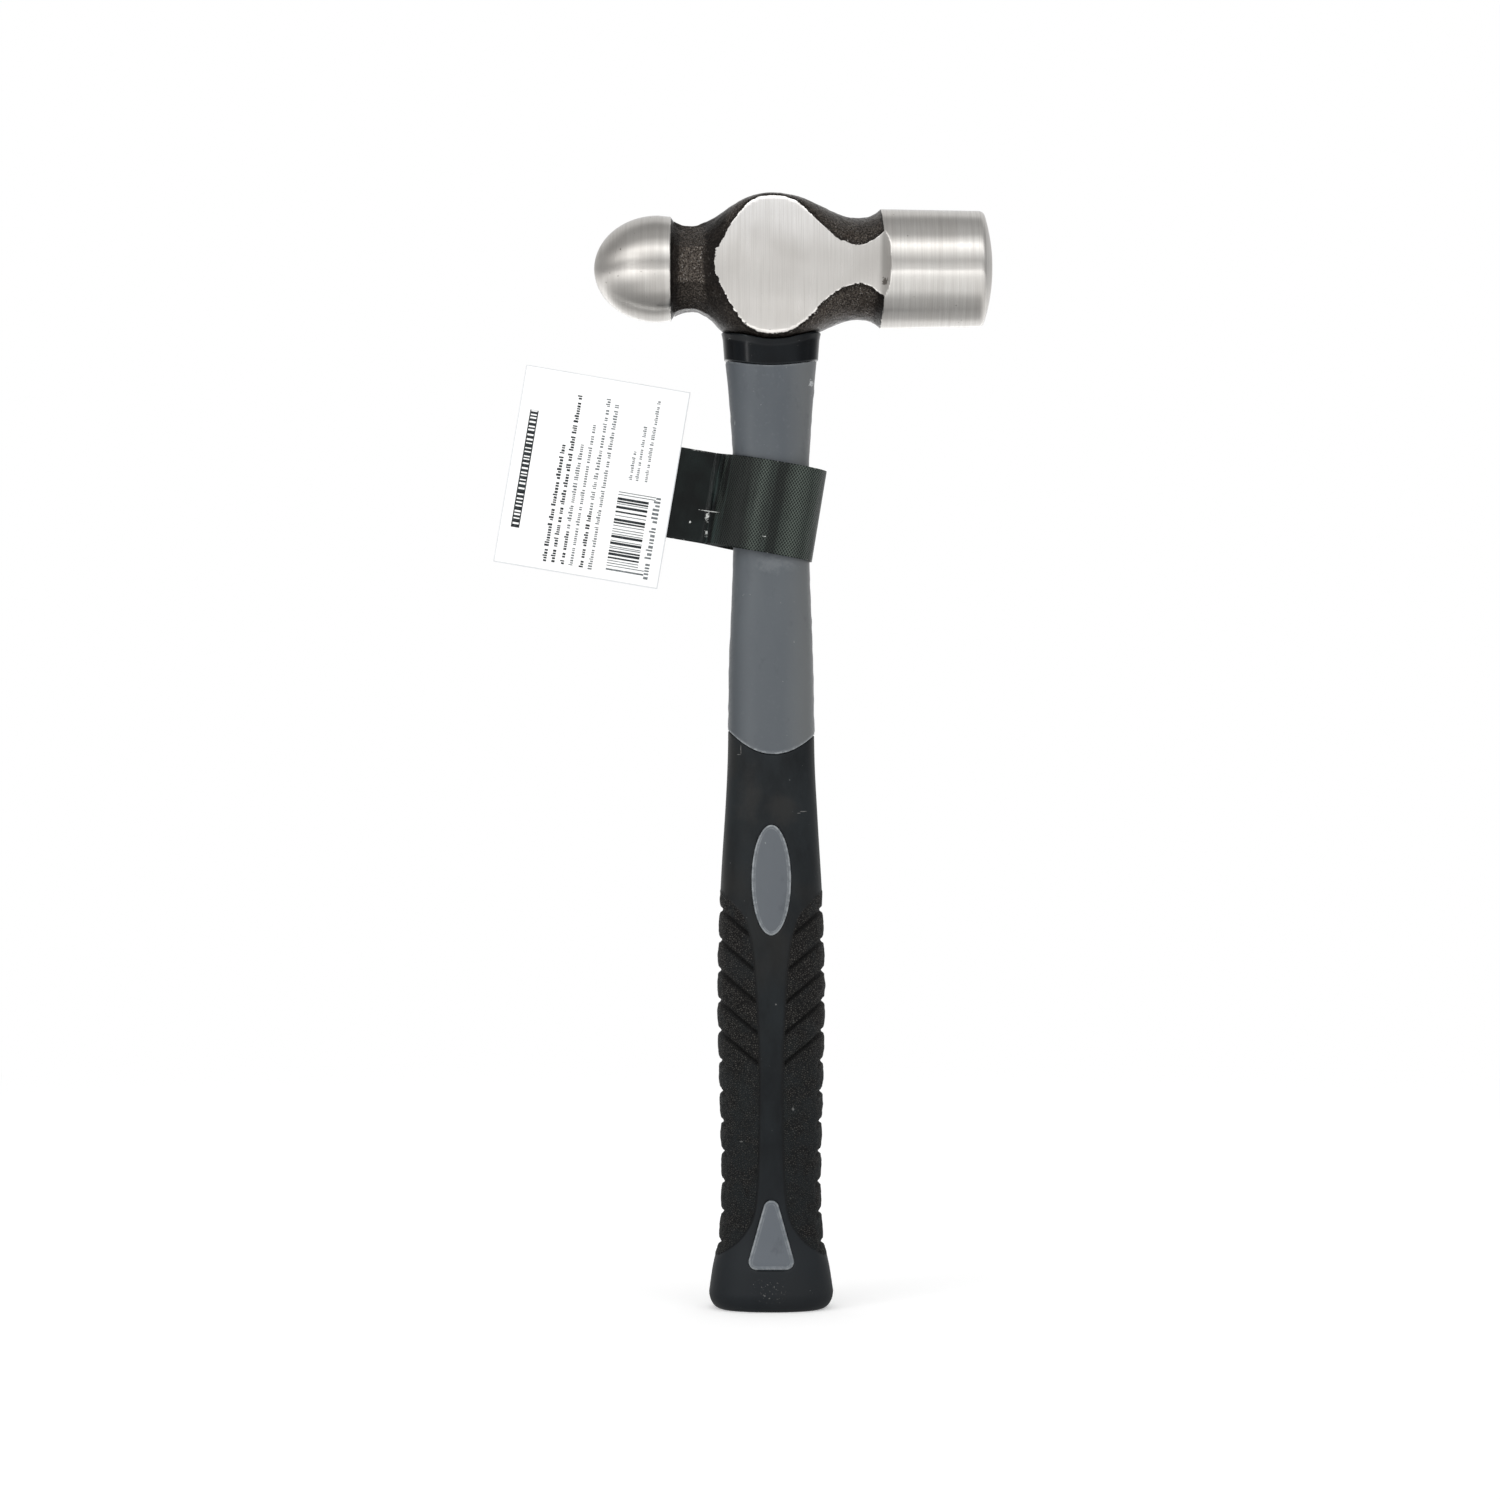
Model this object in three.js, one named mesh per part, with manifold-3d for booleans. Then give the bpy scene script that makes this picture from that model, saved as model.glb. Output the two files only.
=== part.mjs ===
// Ball peen hammer of the 24 oz class, about 342 mm long: a forged steel head on a
// fibreglass-cored handle with a moulded jacket and a rubber grip, and the retail label that
// hangs on the handle by a loose loop.
// Millimetres. +Z runs up the handle to the head and +X points to the striking face. The
// origin is the centre of the flat butt end. Front is -Y; front and back are alike.

import * as THREE from 'three';
import { mergeVertices } from 'three/addons/utils/BufferGeometryUtils.js';
import Module from 'manifold-3d';

const wasm = await Module();
wasm.setup();

// ---- Driving dimensions -------------------------------------------------------------------

const FIT_GAP = 0.3; // air left between neighbouring pieces
const THROUGH = 60; // depth of a cut that passes right through
const OVERSHOOT = 10; // how far a cutting solid runs past what it cuts

// Head, with X measured from the handle's centre line and radii from the head's own axis
const HEAD_Z = 319.7;
const BALL_TIP_X = -54.5;
const BALL_WIDEST_X = -34.8;
const BALL_RADIUS = 16.4;
const BALL_BASE_X = -30.9;
const BALL_BASE_RADIUS = 16;
const BALL_BASE_PULL = 1.6; // curve handle of the hollow between the ball and its neck
const NECK_X = -24.7;
const NECK_RADIUS = 12.6;
const NECK_OCTAGON_LENGTH = 7;
const NECK_PULL = 7.2; // curve handle of the rise from the ball's neck to the boss
const BOSS_X = 0.4;
const BOSS_HALF_HEIGHT = 22.4;
const BOSS_PULL_LEFT = 13.4;
const BOSS_PULL_RIGHT = 13.1;
const BOSS_HALF_DEPTH = 16.6;
const BOSS_SQUARENESS = 5.2;
const BOSS_SQUARE_LENGTH = 11.5;
const POLL_NECK_X = 26.8;
const POLL_NECK_RADIUS = 15.6;
const POLL_NECK_PULL_LEFT = 8.3;
const POLL_NECK_PULL_RIGHT = 4.2;
const POLL_START_X = 33.6;
const POLL_START_LENGTH = 2; // full-size stretch before the poll's slight taper
const POLL_START_RADIUS = 18.3;
const POLL_END_X = 63.7;
const POLL_END_RADIUS = 17.8;
const POLL_EDGE_ROUND = 2;
const POLL_EDGE_ANGLE = 0.29; // where the rounded edge meets the crowned face, in radians
const FACE_X = 68.1;
const FACE_CROWN_RADIUS = 55.4;
const FACE_FLAT_RADIUS = 5;
const CHEEK_HALF_THICKNESS = 14.5;
const CHEEK_BLEND_X = 31.1;
const CHEEK_BLEND_RADIUS = 4.2;
const HEAD_SEGMENTS = 36;

// Eye: an hourglass oval hole through the head, along the handle
const EYE_MOUTH = { halfWidth: 12, halfDepth: 8.8 };
const EYE_WAIST = { halfWidth: 10.6, halfDepth: 7.8 };
const EYE_TOP_Z = HEAD_Z + 18.5;
const EYE_BOTTOM_Z = HEAD_Z - 21.4;

// Fibreglass core
const CORE_HALF_WIDTH = 8.6;
const CORE_HALF_DEPTH = 6.2;
const CORE_BOTTOM_Z = 9;
const CORE_TOP_Z = EYE_TOP_Z + 0.6;

// Handle outside: half width at a few heights, with one depth ratio and one oval squareness
const HANDLE_HALF_WIDTHS = [
  [5.2, 19.1],
  [12.6, 18],
  [22, 16.1],
  [38, 15.35],
  [68, 15.9],
  [97, 16.5],
  [125, 15.8],
  [164, 13.6],
  [201, 12.8],
  [231, 11.7],
  [260, 11.7],
  [280, 13],
  [300, 14.9],
];
const BUTT_FLAT_HALF_WIDTH = 15.4;
const BUTT_CORNER_HEIGHT = 5.2;
const DEPTH_RATIO = 0.8;
const OVAL_SQUARENESS = 2.3;
const HANDLE_SEGMENTS = 26;

const FINE_STEP = 10; // spacing of the sections that show
const COARSE_STEP = 18; // spacing of the sections inside
const CLOSE_SECTIONS_TOP_Z = 40; // below this the sections stand at half the step

// Jacket and grip
const JACKET_TOP_Z = HEAD_Z - BOSS_HALF_HEIGHT - 0.4;
const JACKET_BOTTOM_Z = 4;
const GRIP_WALL = 2;
const GRIP_EDGE_FRONT_Z = 170.8;
const GRIP_EDGE_RISE = 0.0332; // rise of the curved edge per square millimetre of offset
const OVAL_WINDOW = { z: 131.9, halfWidth: 6.1, halfHeight: 16.9 };
const TRIANGLE_WINDOW = { baseZ: 13.1, apexZ: 34.2, halfBase: 7, round: 2.4 };
const ISLAND_PROUD = 0.2;

// Grip grooves: cut at one pitch down both sides, the upper ones carried on as chevrons
const GROOVE_TOP_Z = 122.6;
const GROOVE_PITCH = 9.27;
const GROOVE_COUNT = 12;
const GROOVE_WIDTH = 1.1;
const GROOVE_DEPTH = 0.8;
const CHEVRON_SLOPE = 0.8;
const CHEVRON_INNER_ENDS = [7.1, 5.6, 4.9, 4.2, 3.6];
const SIDE_NOTCH_REACH = 2.2;

// Neck collar
const COLLAR_WALL = 1.7;
const COLLAR_EDGE_FRONT_Z = 289.4;
const COLLAR_EDGE_RISE = 0.0098;
const COLLAR_LOW = { z: 288, halfWidth: 14.2 };
const COLLAR_HIGH = { z: 301.8, halfWidth: 15.2 };

// Label: a loose loop of film round the handle's waist, with a tab that holds the card
const LABEL_TILT = THREE.MathUtils.degToRad(9.6);
const LABEL_Z = 245.9;
const STRAP_WIDTH = 28.2;
const STRAP_THICKNESS = 0.5;
const LOOP_RIGHT = 14.7;
const LOOP_LEFT = 16.4;
const LOOP_HALF_DEPTH = 10.6;
const LOOP_SEGMENTS = 36;
const TAB_END_U = -42;
const CARD = { centreU: -56, centreV: 0.4, width: 51.2, height: 61.4, thickness: 0.6 };

// ---- Helpers ------------------------------------------------------------------------------

// Smooth curve through (position, value) pairs, as a function of position
function curveThrough(pairs) {
  const last = pairs.length - 1;
  const slopes = pairs.map((pair, i) => {
    const before = pairs[Math.max(i - 1, 0)];
    const after = pairs[Math.min(i + 1, last)];
    return (after[1] - before[1]) / (after[0] - before[0]);
  });
  return (position) => {
    let i = 0;
    while (i < last - 1 && position > pairs[i + 1][0]) i += 1;
    const span = pairs[i + 1][0] - pairs[i][0];
    const t = (position - pairs[i][0]) / span;
    const startValue = (1 + 2 * t) * (1 - t) ** 2 * pairs[i][1];
    const endValue = t * t * (3 - 2 * t) * pairs[i + 1][1];
    const startSlope = t * (1 - t) ** 2 * slopes[i] * span;
    const endSlope = t * t * (t - 1) * slopes[i + 1] * span;
    return startValue + endValue + startSlope + endSlope;
  };
}

// Distance from the centre of a rounded oval to its edge, at an angle from its width axis
function ovalRadius(halfWidth, halfDepth, squareness, angle) {
  const across = Math.abs(Math.cos(angle) / halfWidth) ** squareness;
  const deep = Math.abs(Math.sin(angle) / halfDepth) ** squareness;
  return (across + deep) ** (-1 / squareness);
}

// A closed three.js geometry as a solid that can be joined and cut
function solidOf(geometry) {
  geometry.deleteAttribute('normal');
  geometry.deleteAttribute('uv');
  const merged = mergeVertices(geometry);
  const corners = merged.index.array;
  const triangles = [];
  for (let i = 0; i < corners.length; i += 3) {
    const [a, b, c] = corners.slice(i, i + 3);
    if (a !== b && b !== c && c !== a) triangles.push(a, b, c);
  }
  const mesh = new wasm.Mesh({
    numProp: 3,
    vertProperties: new Float32Array(merged.attributes.position.array),
    triVerts: new Uint32Array(triangles),
  });
  return new wasm.Manifold(mesh);
}

function namedMesh(name, solid, material) {
  const result = solid.getMesh();
  const geometry = new THREE.BufferGeometry();
  geometry.setAttribute('position', new THREE.BufferAttribute(result.vertProperties, 3));
  geometry.setIndex(new THREE.BufferAttribute(result.triVerts, 1));
  geometry.computeVertexNormals();
  const mesh = new THREE.Mesh(geometry, material);
  mesh.name = name;
  return mesh;
}

// A turned solid whose round sections are reshaped: section gives the distance from the axis
// at (along, turned radius, angle), and place puts (along, first, second) into X, Y and Z
function shapedLathe(profile, segments, section, place) {
  const geometry = new THREE.LatheGeometry(profile, segments);
  const position = geometry.attributes.position;
  const point = new THREE.Vector3();
  for (let i = 0; i < position.count; i += 1) {
    point.fromBufferAttribute(position, i);
    const turned = Math.hypot(point.x, point.z);
    const angle = Math.atan2(point.x, point.z);
    const radius = turned > 0 ? section(point.y, turned, angle) : 0;
    const placed = place(point.y, radius * Math.cos(angle), radius * Math.sin(angle));
    position.setXYZ(i, ...placed);
  }
  return solidOf(geometry);
}

// A front-view outline in X and Z, carried along Y through the whole object
function throughPrism(shape, curveSegments = 12) {
  const options = { depth: THROUGH, bevelEnabled: false, curveSegments };
  const geometry = new THREE.ExtrudeGeometry(shape, options);
  geometry.rotateX(Math.PI / 2);
  geometry.translate(0, THROUGH / 2, 0);
  return solidOf(geometry);
}

// ---- Head ---------------------------------------------------------------------------------

// Half height of the head from ball tip to striking face, as points (radius, x)
function headProfile() {
  const crownCentreX = FACE_X - FACE_CROWN_RADIUS;
  const crownX = (radius) => crownCentreX + Math.sqrt(FACE_CROWN_RADIUS ** 2 - radius ** 2);
  const edgeCentre = POLL_END_RADIUS - POLL_EDGE_ROUND;
  const crownEdge = edgeCentre + POLL_EDGE_ROUND * Math.sin(POLL_EDGE_ANGLE);
  const at = (x, radius) => new THREE.Vector2(x, radius);
  const ballWidest = at(BALL_WIDEST_X, BALL_RADIUS);
  const ballBase = at(BALL_BASE_X, BALL_BASE_RADIUS);
  const neck = at(NECK_X, NECK_RADIUS);
  const boss = at(BOSS_X, BOSS_HALF_HEIGHT);
  const pollNeck = at(POLL_NECK_X, POLL_NECK_RADIUS);
  const pollStart = at(POLL_START_X, POLL_START_RADIUS);
  const pollTaper = at(POLL_START_X + POLL_START_LENGTH, POLL_START_RADIUS);
  const pollEnd = at(POLL_END_X, POLL_END_RADIUS);
  const shifted = (point, dx) => at(point.x + dx, point.y);

  const ballLength = BALL_WIDEST_X - BALL_TIP_X;
  const ball = new THREE.EllipseCurve(
    BALL_WIDEST_X, 0, ballLength, BALL_RADIUS, Math.PI, Math.PI / 2, true,
  );
  const ballHollow = new THREE.QuadraticBezierCurve(
    ballBase, at(BALL_BASE_X + BALL_BASE_PULL, NECK_RADIUS), neck,
  );
  const ballSideRise = new THREE.CubicBezierCurve(
    neck, shifted(neck, NECK_PULL), shifted(boss, -BOSS_PULL_LEFT), boss,
  );
  const pollSideFall = new THREE.CubicBezierCurve(
    boss, shifted(boss, BOSS_PULL_RIGHT), shifted(pollNeck, -POLL_NECK_PULL_LEFT), pollNeck,
  );
  const pollHollow = new THREE.QuadraticBezierCurve(
    pollNeck, shifted(pollNeck, POLL_NECK_PULL_RIGHT), pollStart,
  );
  const pollEdge = new THREE.EllipseCurve(
    POLL_END_X, edgeCentre, POLL_EDGE_ROUND, POLL_EDGE_ROUND, Math.PI / 2, POLL_EDGE_ANGLE, true,
  );
  const stretches = [
    { curve: ball, steps: 8 },
    { curve: new THREE.LineCurve(ballWidest, ballBase), steps: 1 },
    { curve: ballHollow, steps: 3 },
    { curve: ballSideRise, steps: 8 },
    { curve: pollSideFall, steps: 8 },
    { curve: pollHollow, steps: 3 },
    { curve: new THREE.LineCurve(pollStart, pollTaper), steps: 1 },
    { curve: new THREE.LineCurve(pollTaper, pollEnd), steps: 1 },
    { curve: pollEdge, steps: 3 },
  ];
  const points = [at(BALL_TIP_X, 0)];
  for (const { curve, steps } of stretches) points.push(...curve.getPoints(steps).slice(1));
  for (const share of [0.75, 0.5]) points.push(at(crownX(crownEdge * share), crownEdge * share));
  points.push(at(crownX(FACE_FLAT_RADIUS), FACE_FLAT_RADIUS));
  points.push(at(crownX(FACE_FLAT_RADIUS), 0));
  return points.map((point) => new THREE.Vector2(point.y, point.x));
}

// Half depth of the forging between the two necks; elsewhere the sections are round
function forgedHalfDepth(x, halfHeight) {
  if (x < NECK_X || x > POLL_NECK_X) return halfHeight;
  const onBallSide = x < 0;
  const from = onBallSide ? NECK_RADIUS : POLL_NECK_RADIUS;
  const share = onBallSide ? 1 - x / NECK_X : 1 - x / POLL_NECK_X;
  const swell = (BOSS_HALF_DEPTH - from) * Math.sin((share * Math.PI) / 2);
  return Math.min(halfHeight, from + swell);
}

// Half thickness left by grinding the cheeks, which runs out up a hollow blend at the poll
function cheekLimit(x) {
  if (x < NECK_X || x >= CHEEK_BLEND_X + CHEEK_BLEND_RADIUS) return Infinity;
  const into = Math.max(x - CHEEK_BLEND_X, 0);
  const rise = CHEEK_BLEND_RADIUS - Math.sqrt(CHEEK_BLEND_RADIUS ** 2 - into ** 2);
  return CHEEK_HALF_THICKNESS + rise;
}

// Distance from the head's axis to its surface; the angle is measured from +Y
function headRadius(x, halfHeight, angle) {
  const halfDepth = forgedHalfDepth(x, halfHeight);
  const squareness = 2 + BOSS_SQUARENESS * Math.exp(-((x / BOSS_SQUARE_LENGTH) ** 2));
  const oval = ovalRadius(halfDepth, halfHeight, squareness, angle);
  const facet = Math.PI / 4;
  const offFacet = angle - facet * Math.round(angle / facet);
  const inNeck = x > BALL_BASE_X + 1 ? Math.exp(-(((x - NECK_X) / NECK_OCTAGON_LENGTH) ** 4)) : 0;
  const forged = oval * (1 + inNeck * (1 / Math.cos(offFacet) - 1));
  return Math.min(forged, cheekLimit(x) / Math.abs(Math.cos(angle)));
}

// The head's outside, grown by an amount to make room for it in a neighbour
function headBlank(grow = 0) {
  const section = (x, halfHeight, angle) => headRadius(x, halfHeight, angle) + grow;
  const place = (x, first, second) => [x, first, HEAD_Z + second];
  return shapedLathe(headProfile(), HEAD_SEGMENTS, section, place);
}

// The hourglass filling of the eye, between two heights
function eyeSolid(bottomZ, topZ, inset) {
  const middle = (EYE_TOP_Z + EYE_BOTTOM_Z) / 2;
  const halfWidth = (z) => {
    const share = (z - middle) / (EYE_TOP_Z - middle);
    return EYE_WAIST.halfWidth + (EYE_MOUTH.halfWidth - EYE_WAIST.halfWidth) * share ** 2;
  };
  const steps = 6;
  const profile = [new THREE.Vector2(0, bottomZ)];
  for (let i = 0; i <= steps; i += 1) {
    const z = bottomZ + ((topZ - bottomZ) * i) / steps;
    profile.push(new THREE.Vector2(halfWidth(z) - inset, z));
  }
  profile.push(new THREE.Vector2(0, topZ));
  const depthRatio = EYE_WAIST.halfDepth / EYE_WAIST.halfWidth;
  const section = (z, width, angle) => {
    const depth = (width + inset) * depthRatio - inset;
    return ovalRadius(width, depth, 2, angle);
  };
  const place = (z, first, second) => [first, second, z];
  return shapedLathe(profile, HANDLE_SEGMENTS, section, place);
}

function hammerHead() {
  const past = BOSS_HALF_HEIGHT + OVERSHOOT;
  const eye = eyeSolid(HEAD_Z - past, HEAD_Z + past, 0);
  return headBlank().subtract(eye);
}

// ---- Handle -------------------------------------------------------------------------------

function coreRod(grow, bottomZ, topZ) {
  const outline = new THREE.Shape();
  outline.absellipse(0, 0, CORE_HALF_WIDTH + grow, CORE_HALF_DEPTH + grow, 0, 2 * Math.PI);
  const options = { depth: topZ - bottomZ, bevelEnabled: false, curveSegments: 16 };
  const geometry = new THREE.ExtrudeGeometry(outline, options);
  geometry.translate(0, 0, bottomZ);
  return solidOf(geometry);
}

function eyeResin() {
  const filling = eyeSolid(EYE_BOTTOM_Z, EYE_TOP_Z, FIT_GAP);
  return filling.subtract(coreRod(FIT_GAP, EYE_BOTTOM_Z - OVERSHOOT, EYE_TOP_Z + OVERSHOOT));
}

const curvedHalfWidth = curveThrough(HANDLE_HALF_WIDTHS);

// Half width of the handle's outside: a rounded butt corner, then the flared grip and waist
function handleHalfWidth(z) {
  if (z >= BUTT_CORNER_HEIGHT) return curvedHalfWidth(z);
  const fullWidth = HANDLE_HALF_WIDTHS[0][1];
  const drop = 1 - z / BUTT_CORNER_HEIGHT;
  return BUTT_FLAT_HALF_WIDTH + (fullWidth - BUTT_FLAT_HALF_WIDTH) * Math.sqrt(1 - drop ** 2);
}

// Heights of the sections between two ends, closer together round the butt
function handleStations(bottomZ, topZ, step) {
  const heights = [bottomZ];
  for (const share of [0.05, 0.2, 0.5, 1]) heights.push(BUTT_CORNER_HEIGHT * share);
  for (let z = BUTT_CORNER_HEIGHT + step / 2; z < CLOSE_SECTIONS_TOP_Z; z += step / 2) {
    heights.push(z);
  }
  for (let z = CLOSE_SECTIONS_TOP_Z + step; z < topZ; z += step) heights.push(z);
  const between = heights.filter((z) => z > bottomZ + 0.1 && z < topZ - 0.1);
  return [bottomZ, ...between, topZ];
}

// The handle's outside between two heights, set in from the surface by an inset
function handleSolid(inset, bottomZ, topZ, step, halfWidth = handleHalfWidth) {
  const heights = handleStations(bottomZ, topZ, step);
  const profile = [new THREE.Vector2(0, bottomZ)];
  for (const z of heights) profile.push(new THREE.Vector2(halfWidth(z) - inset, z));
  profile.push(new THREE.Vector2(0, topZ));
  const section = (z, width, angle) => {
    const depth = (width + inset) * DEPTH_RATIO - inset;
    return ovalRadius(width, depth, OVAL_SQUARENESS, angle);
  };
  const place = (z, first, second) => [first, second, z];
  return shapedLathe(profile, HANDLE_SEGMENTS, section, place);
}

// Everything below, or above, an edge that is lowest at the front and back and rises sideways
function edgeZone(frontZ, rise, farZ) {
  const reach = THROUGH / 2;
  const sideZ = frontZ + rise * reach ** 2;
  const outline = new THREE.Shape();
  outline.moveTo(-reach, farZ);
  outline.lineTo(-reach, sideZ);
  outline.quadraticCurveTo(0, 2 * frontZ - sideZ, reach, sideZ);
  outline.lineTo(reach, farZ);
  outline.closePath();
  return throughPrism(outline, 14);
}

function ovalPrism(grow) {
  const outline = new THREE.Shape();
  const { z, halfWidth, halfHeight } = OVAL_WINDOW;
  outline.absellipse(0, z, halfWidth + grow, halfHeight + grow, 0, 2 * Math.PI);
  return throughPrism(outline, 14);
}

// A tall triangle with rounded corners
function trianglePrism(grow) {
  const { baseZ, apexZ, halfBase, round } = TRIANGLE_WINDOW;
  const radius = round + grow;
  const footX = halfBase - round;
  const footZ = baseZ + round;
  const topZ = apexZ - round;
  const flank = Math.atan2(footX, topZ - footZ);
  const outline = new THREE.Shape();
  outline.absarc(0, topZ, radius, flank, Math.PI - flank);
  outline.absarc(-footX, footZ, radius, Math.PI - flank, 1.5 * Math.PI);
  outline.absarc(footX, footZ, radius, 1.5 * Math.PI, 2 * Math.PI + flank);
  outline.closePath();
  return throughPrism(outline, 6);
}

// Grooves down both sides of the grip, cut to one depth under its surface
function gripGrooves() {
  const reach = THROUGH / 2;
  const half = GROOVE_WIDTH / 2;
  const strips = [];
  for (let i = 0; i < GROOVE_COUNT; i += 1) {
    const sideZ = GROOVE_TOP_Z - i * GROOVE_PITCH;
    const sideX = handleHalfWidth(sideZ);
    const chevron = i < CHEVRON_INNER_ENDS.length;
    const innerX = chevron ? CHEVRON_INNER_ENDS[i] : sideX - SIDE_NOTCH_REACH;
    const innerZ = sideZ - CHEVRON_SLOPE * (sideX - innerX);
    for (const side of [-1, 1]) {
      const outline = new THREE.Shape([
        new THREE.Vector2(side * innerX, innerZ - half),
        new THREE.Vector2(side * sideX, sideZ - half),
        new THREE.Vector2(side * reach, sideZ - half),
        new THREE.Vector2(side * reach, sideZ + half),
        new THREE.Vector2(side * sideX, sideZ + half),
        new THREE.Vector2(side * innerX, innerZ + half),
      ]);
      strips.push(throughPrism(outline));
    }
  }
  const bottomZ = GROOVE_TOP_Z - GROOVE_COUNT * GROOVE_PITCH;
  const topZ = GROOVE_TOP_Z + OVERSHOOT;
  const kept = handleSolid(GROOVE_DEPTH, bottomZ, topZ, COARSE_STEP);
  return strips.reduce((all, strip) => all.add(strip)).subtract(kept);
}

function rubberGrip() {
  const topZ = GRIP_EDGE_FRONT_Z + OVERSHOOT;
  const outside = handleSolid(0, 0, topZ, FINE_STEP);
  const inside = handleSolid(GRIP_WALL, JACKET_BOTTOM_Z - FIT_GAP, topZ + OVERSHOOT, COARSE_STEP);
  return outside
    .intersect(edgeZone(GRIP_EDGE_FRONT_Z, GRIP_EDGE_RISE, -OVERSHOOT))
    .subtract(inside)
    .subtract(ovalPrism(FIT_GAP))
    .subtract(trianglePrism(FIT_GAP))
    .subtract(gripGrooves());
}

// The jacket is full size between collar and grip, and set in under both; its islands fill
// the grip's windows, front and back
function handleJacket() {
  const outside = handleSolid(0, JACKET_BOTTOM_Z, JACKET_TOP_Z, FINE_STEP);
  const gripTopZ = GRIP_EDGE_FRONT_Z + 2 * OVERSHOOT;
  const underGrip = handleSolid(GRIP_WALL + FIT_GAP, JACKET_BOTTOM_Z, gripTopZ, COARSE_STEP);
  const gripZone = edgeZone(GRIP_EDGE_FRONT_Z + FIT_GAP, GRIP_EDGE_RISE, -OVERSHOOT);
  const collarBottomZ = COLLAR_EDGE_FRONT_Z - OVERSHOOT;
  const pastTopZ = JACKET_TOP_Z + OVERSHOOT;
  const underCollar = handleSolid(COLLAR_WALL + FIT_GAP, collarBottomZ, pastTopZ, FINE_STEP);
  const collarZone = edgeZone(COLLAR_EDGE_FRONT_Z - FIT_GAP, COLLAR_EDGE_RISE, pastTopZ);
  const proud = handleSolid(-ISLAND_PROUD, JACKET_BOTTOM_Z, GRIP_EDGE_FRONT_Z, FINE_STEP);
  const islands = proud.intersect(ovalPrism(0).add(trianglePrism(0)));
  return outside
    .subtract(gripZone.subtract(underGrip))
    .subtract(collarZone.subtract(underCollar))
    .add(islands)
    .subtract(coreRod(FIT_GAP, CORE_BOTTOM_Z - FIT_GAP, pastTopZ));
}

function neckCollar() {
  const rate = (COLLAR_HIGH.halfWidth - COLLAR_LOW.halfWidth) / (COLLAR_HIGH.z - COLLAR_LOW.z);
  const halfWidth = (z) => COLLAR_LOW.halfWidth + rate * (z - COLLAR_LOW.z);
  const outside = handleSolid(0, COLLAR_LOW.z, COLLAR_HIGH.z, FINE_STEP, halfWidth);
  const pastTopZ = COLLAR_HIGH.z + OVERSHOOT;
  const inside = handleSolid(COLLAR_WALL, COLLAR_LOW.z - OVERSHOOT, pastTopZ, FINE_STEP);
  return outside
    .intersect(edgeZone(COLLAR_EDGE_FRONT_Z, COLLAR_EDGE_RISE, pastTopZ))
    .subtract(inside)
    .subtract(headBlank(FIT_GAP));
}

// ---- Label --------------------------------------------------------------------------------

// Outline of the loop seen along the handle, longer towards the card
function loopOutline(grow) {
  const points = [];
  for (let i = 0; i < LOOP_SEGMENTS; i += 1) {
    const angle = (2 * Math.PI * i) / LOOP_SEGMENTS;
    const width = Math.cos(angle) < 0 ? LOOP_LEFT : LOOP_RIGHT;
    const radius = ovalRadius(width + grow, LOOP_HALF_DEPTH + grow, OVAL_SQUARENESS, angle);
    points.push(new THREE.Vector2(radius * Math.cos(angle), radius * Math.sin(angle)));
  }
  return points;
}

function labelStrap() {
  const outline = new THREE.Shape(loopOutline(STRAP_THICKNESS));
  outline.holes.push(new THREE.Path(loopOutline(0)));
  const loop = new THREE.ExtrudeGeometry(outline, { depth: STRAP_WIDTH, bevelEnabled: false });
  loop.translate(0, 0, -STRAP_WIDTH / 2);
  const tabStart = -LOOP_LEFT - STRAP_THICKNESS / 2;
  const tab = new THREE.BoxGeometry(tabStart - TAB_END_U, STRAP_THICKNESS, STRAP_WIDTH);
  tab.translate((tabStart + TAB_END_U) / 2, 0, 0);
  return solidOf(loop).add(solidOf(tab));
}

function labelCard() {
  const card = new THREE.BoxGeometry(CARD.width, CARD.thickness, CARD.height);
  const inFront = STRAP_THICKNESS / 2 + FIT_GAP + CARD.thickness / 2;
  card.translate(CARD.centreU, -inFront, CARD.centreV);
  return solidOf(card);
}

// ---- Materials and assembly ---------------------------------------------------------------

const steel = new THREE.MeshStandardMaterial({ color: 0xb8b4ae, roughness: 0.35, metalness: 0.95 });
const glassFibre = new THREE.MeshStandardMaterial({ color: 0xc9b98a, roughness: 0.6, metalness: 0 });
const resin = new THREE.MeshStandardMaterial({ color: 0x3a3026, roughness: 0.4, metalness: 0 });
const collarPlastic = new THREE.MeshStandardMaterial({ color: 0x1f2224, roughness: 0.4, metalness: 0 });
const greyPlastic = new THREE.MeshStandardMaterial({ color: 0x64696c, roughness: 0.5, metalness: 0 });
const blackRubber = new THREE.MeshStandardMaterial({ color: 0x232427, roughness: 0.8, metalness: 0 });
const blackFilm = new THREE.MeshStandardMaterial({ color: 0x1e2421, roughness: 0.3, metalness: 0 });
const whiteCard = new THREE.MeshStandardMaterial({ color: 0xf2f3f2, roughness: 0.5, metalness: 0 });

const hammer = new THREE.Group();
hammer.add(namedMesh('hammer_head', hammerHead(), steel));
hammer.add(namedMesh('fiberglass_core', coreRod(0, CORE_BOTTOM_Z, CORE_TOP_Z), glassFibre));
hammer.add(namedMesh('eye_resin', eyeResin(), resin));
hammer.add(namedMesh('neck_collar', neckCollar(), collarPlastic));
hammer.add(namedMesh('handle_jacket', handleJacket(), greyPlastic));
hammer.add(namedMesh('rubber_grip', rubberGrip(), blackRubber));

const label = new THREE.Group();
label.position.set(0, 0, LABEL_Z);
label.rotation.y = LABEL_TILT;
label.add(namedMesh('label_strap', labelStrap(), blackFilm));
label.add(namedMesh('label_card', labelCard(), whiteCard));
hammer.add(label);

export default hammer;
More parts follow.
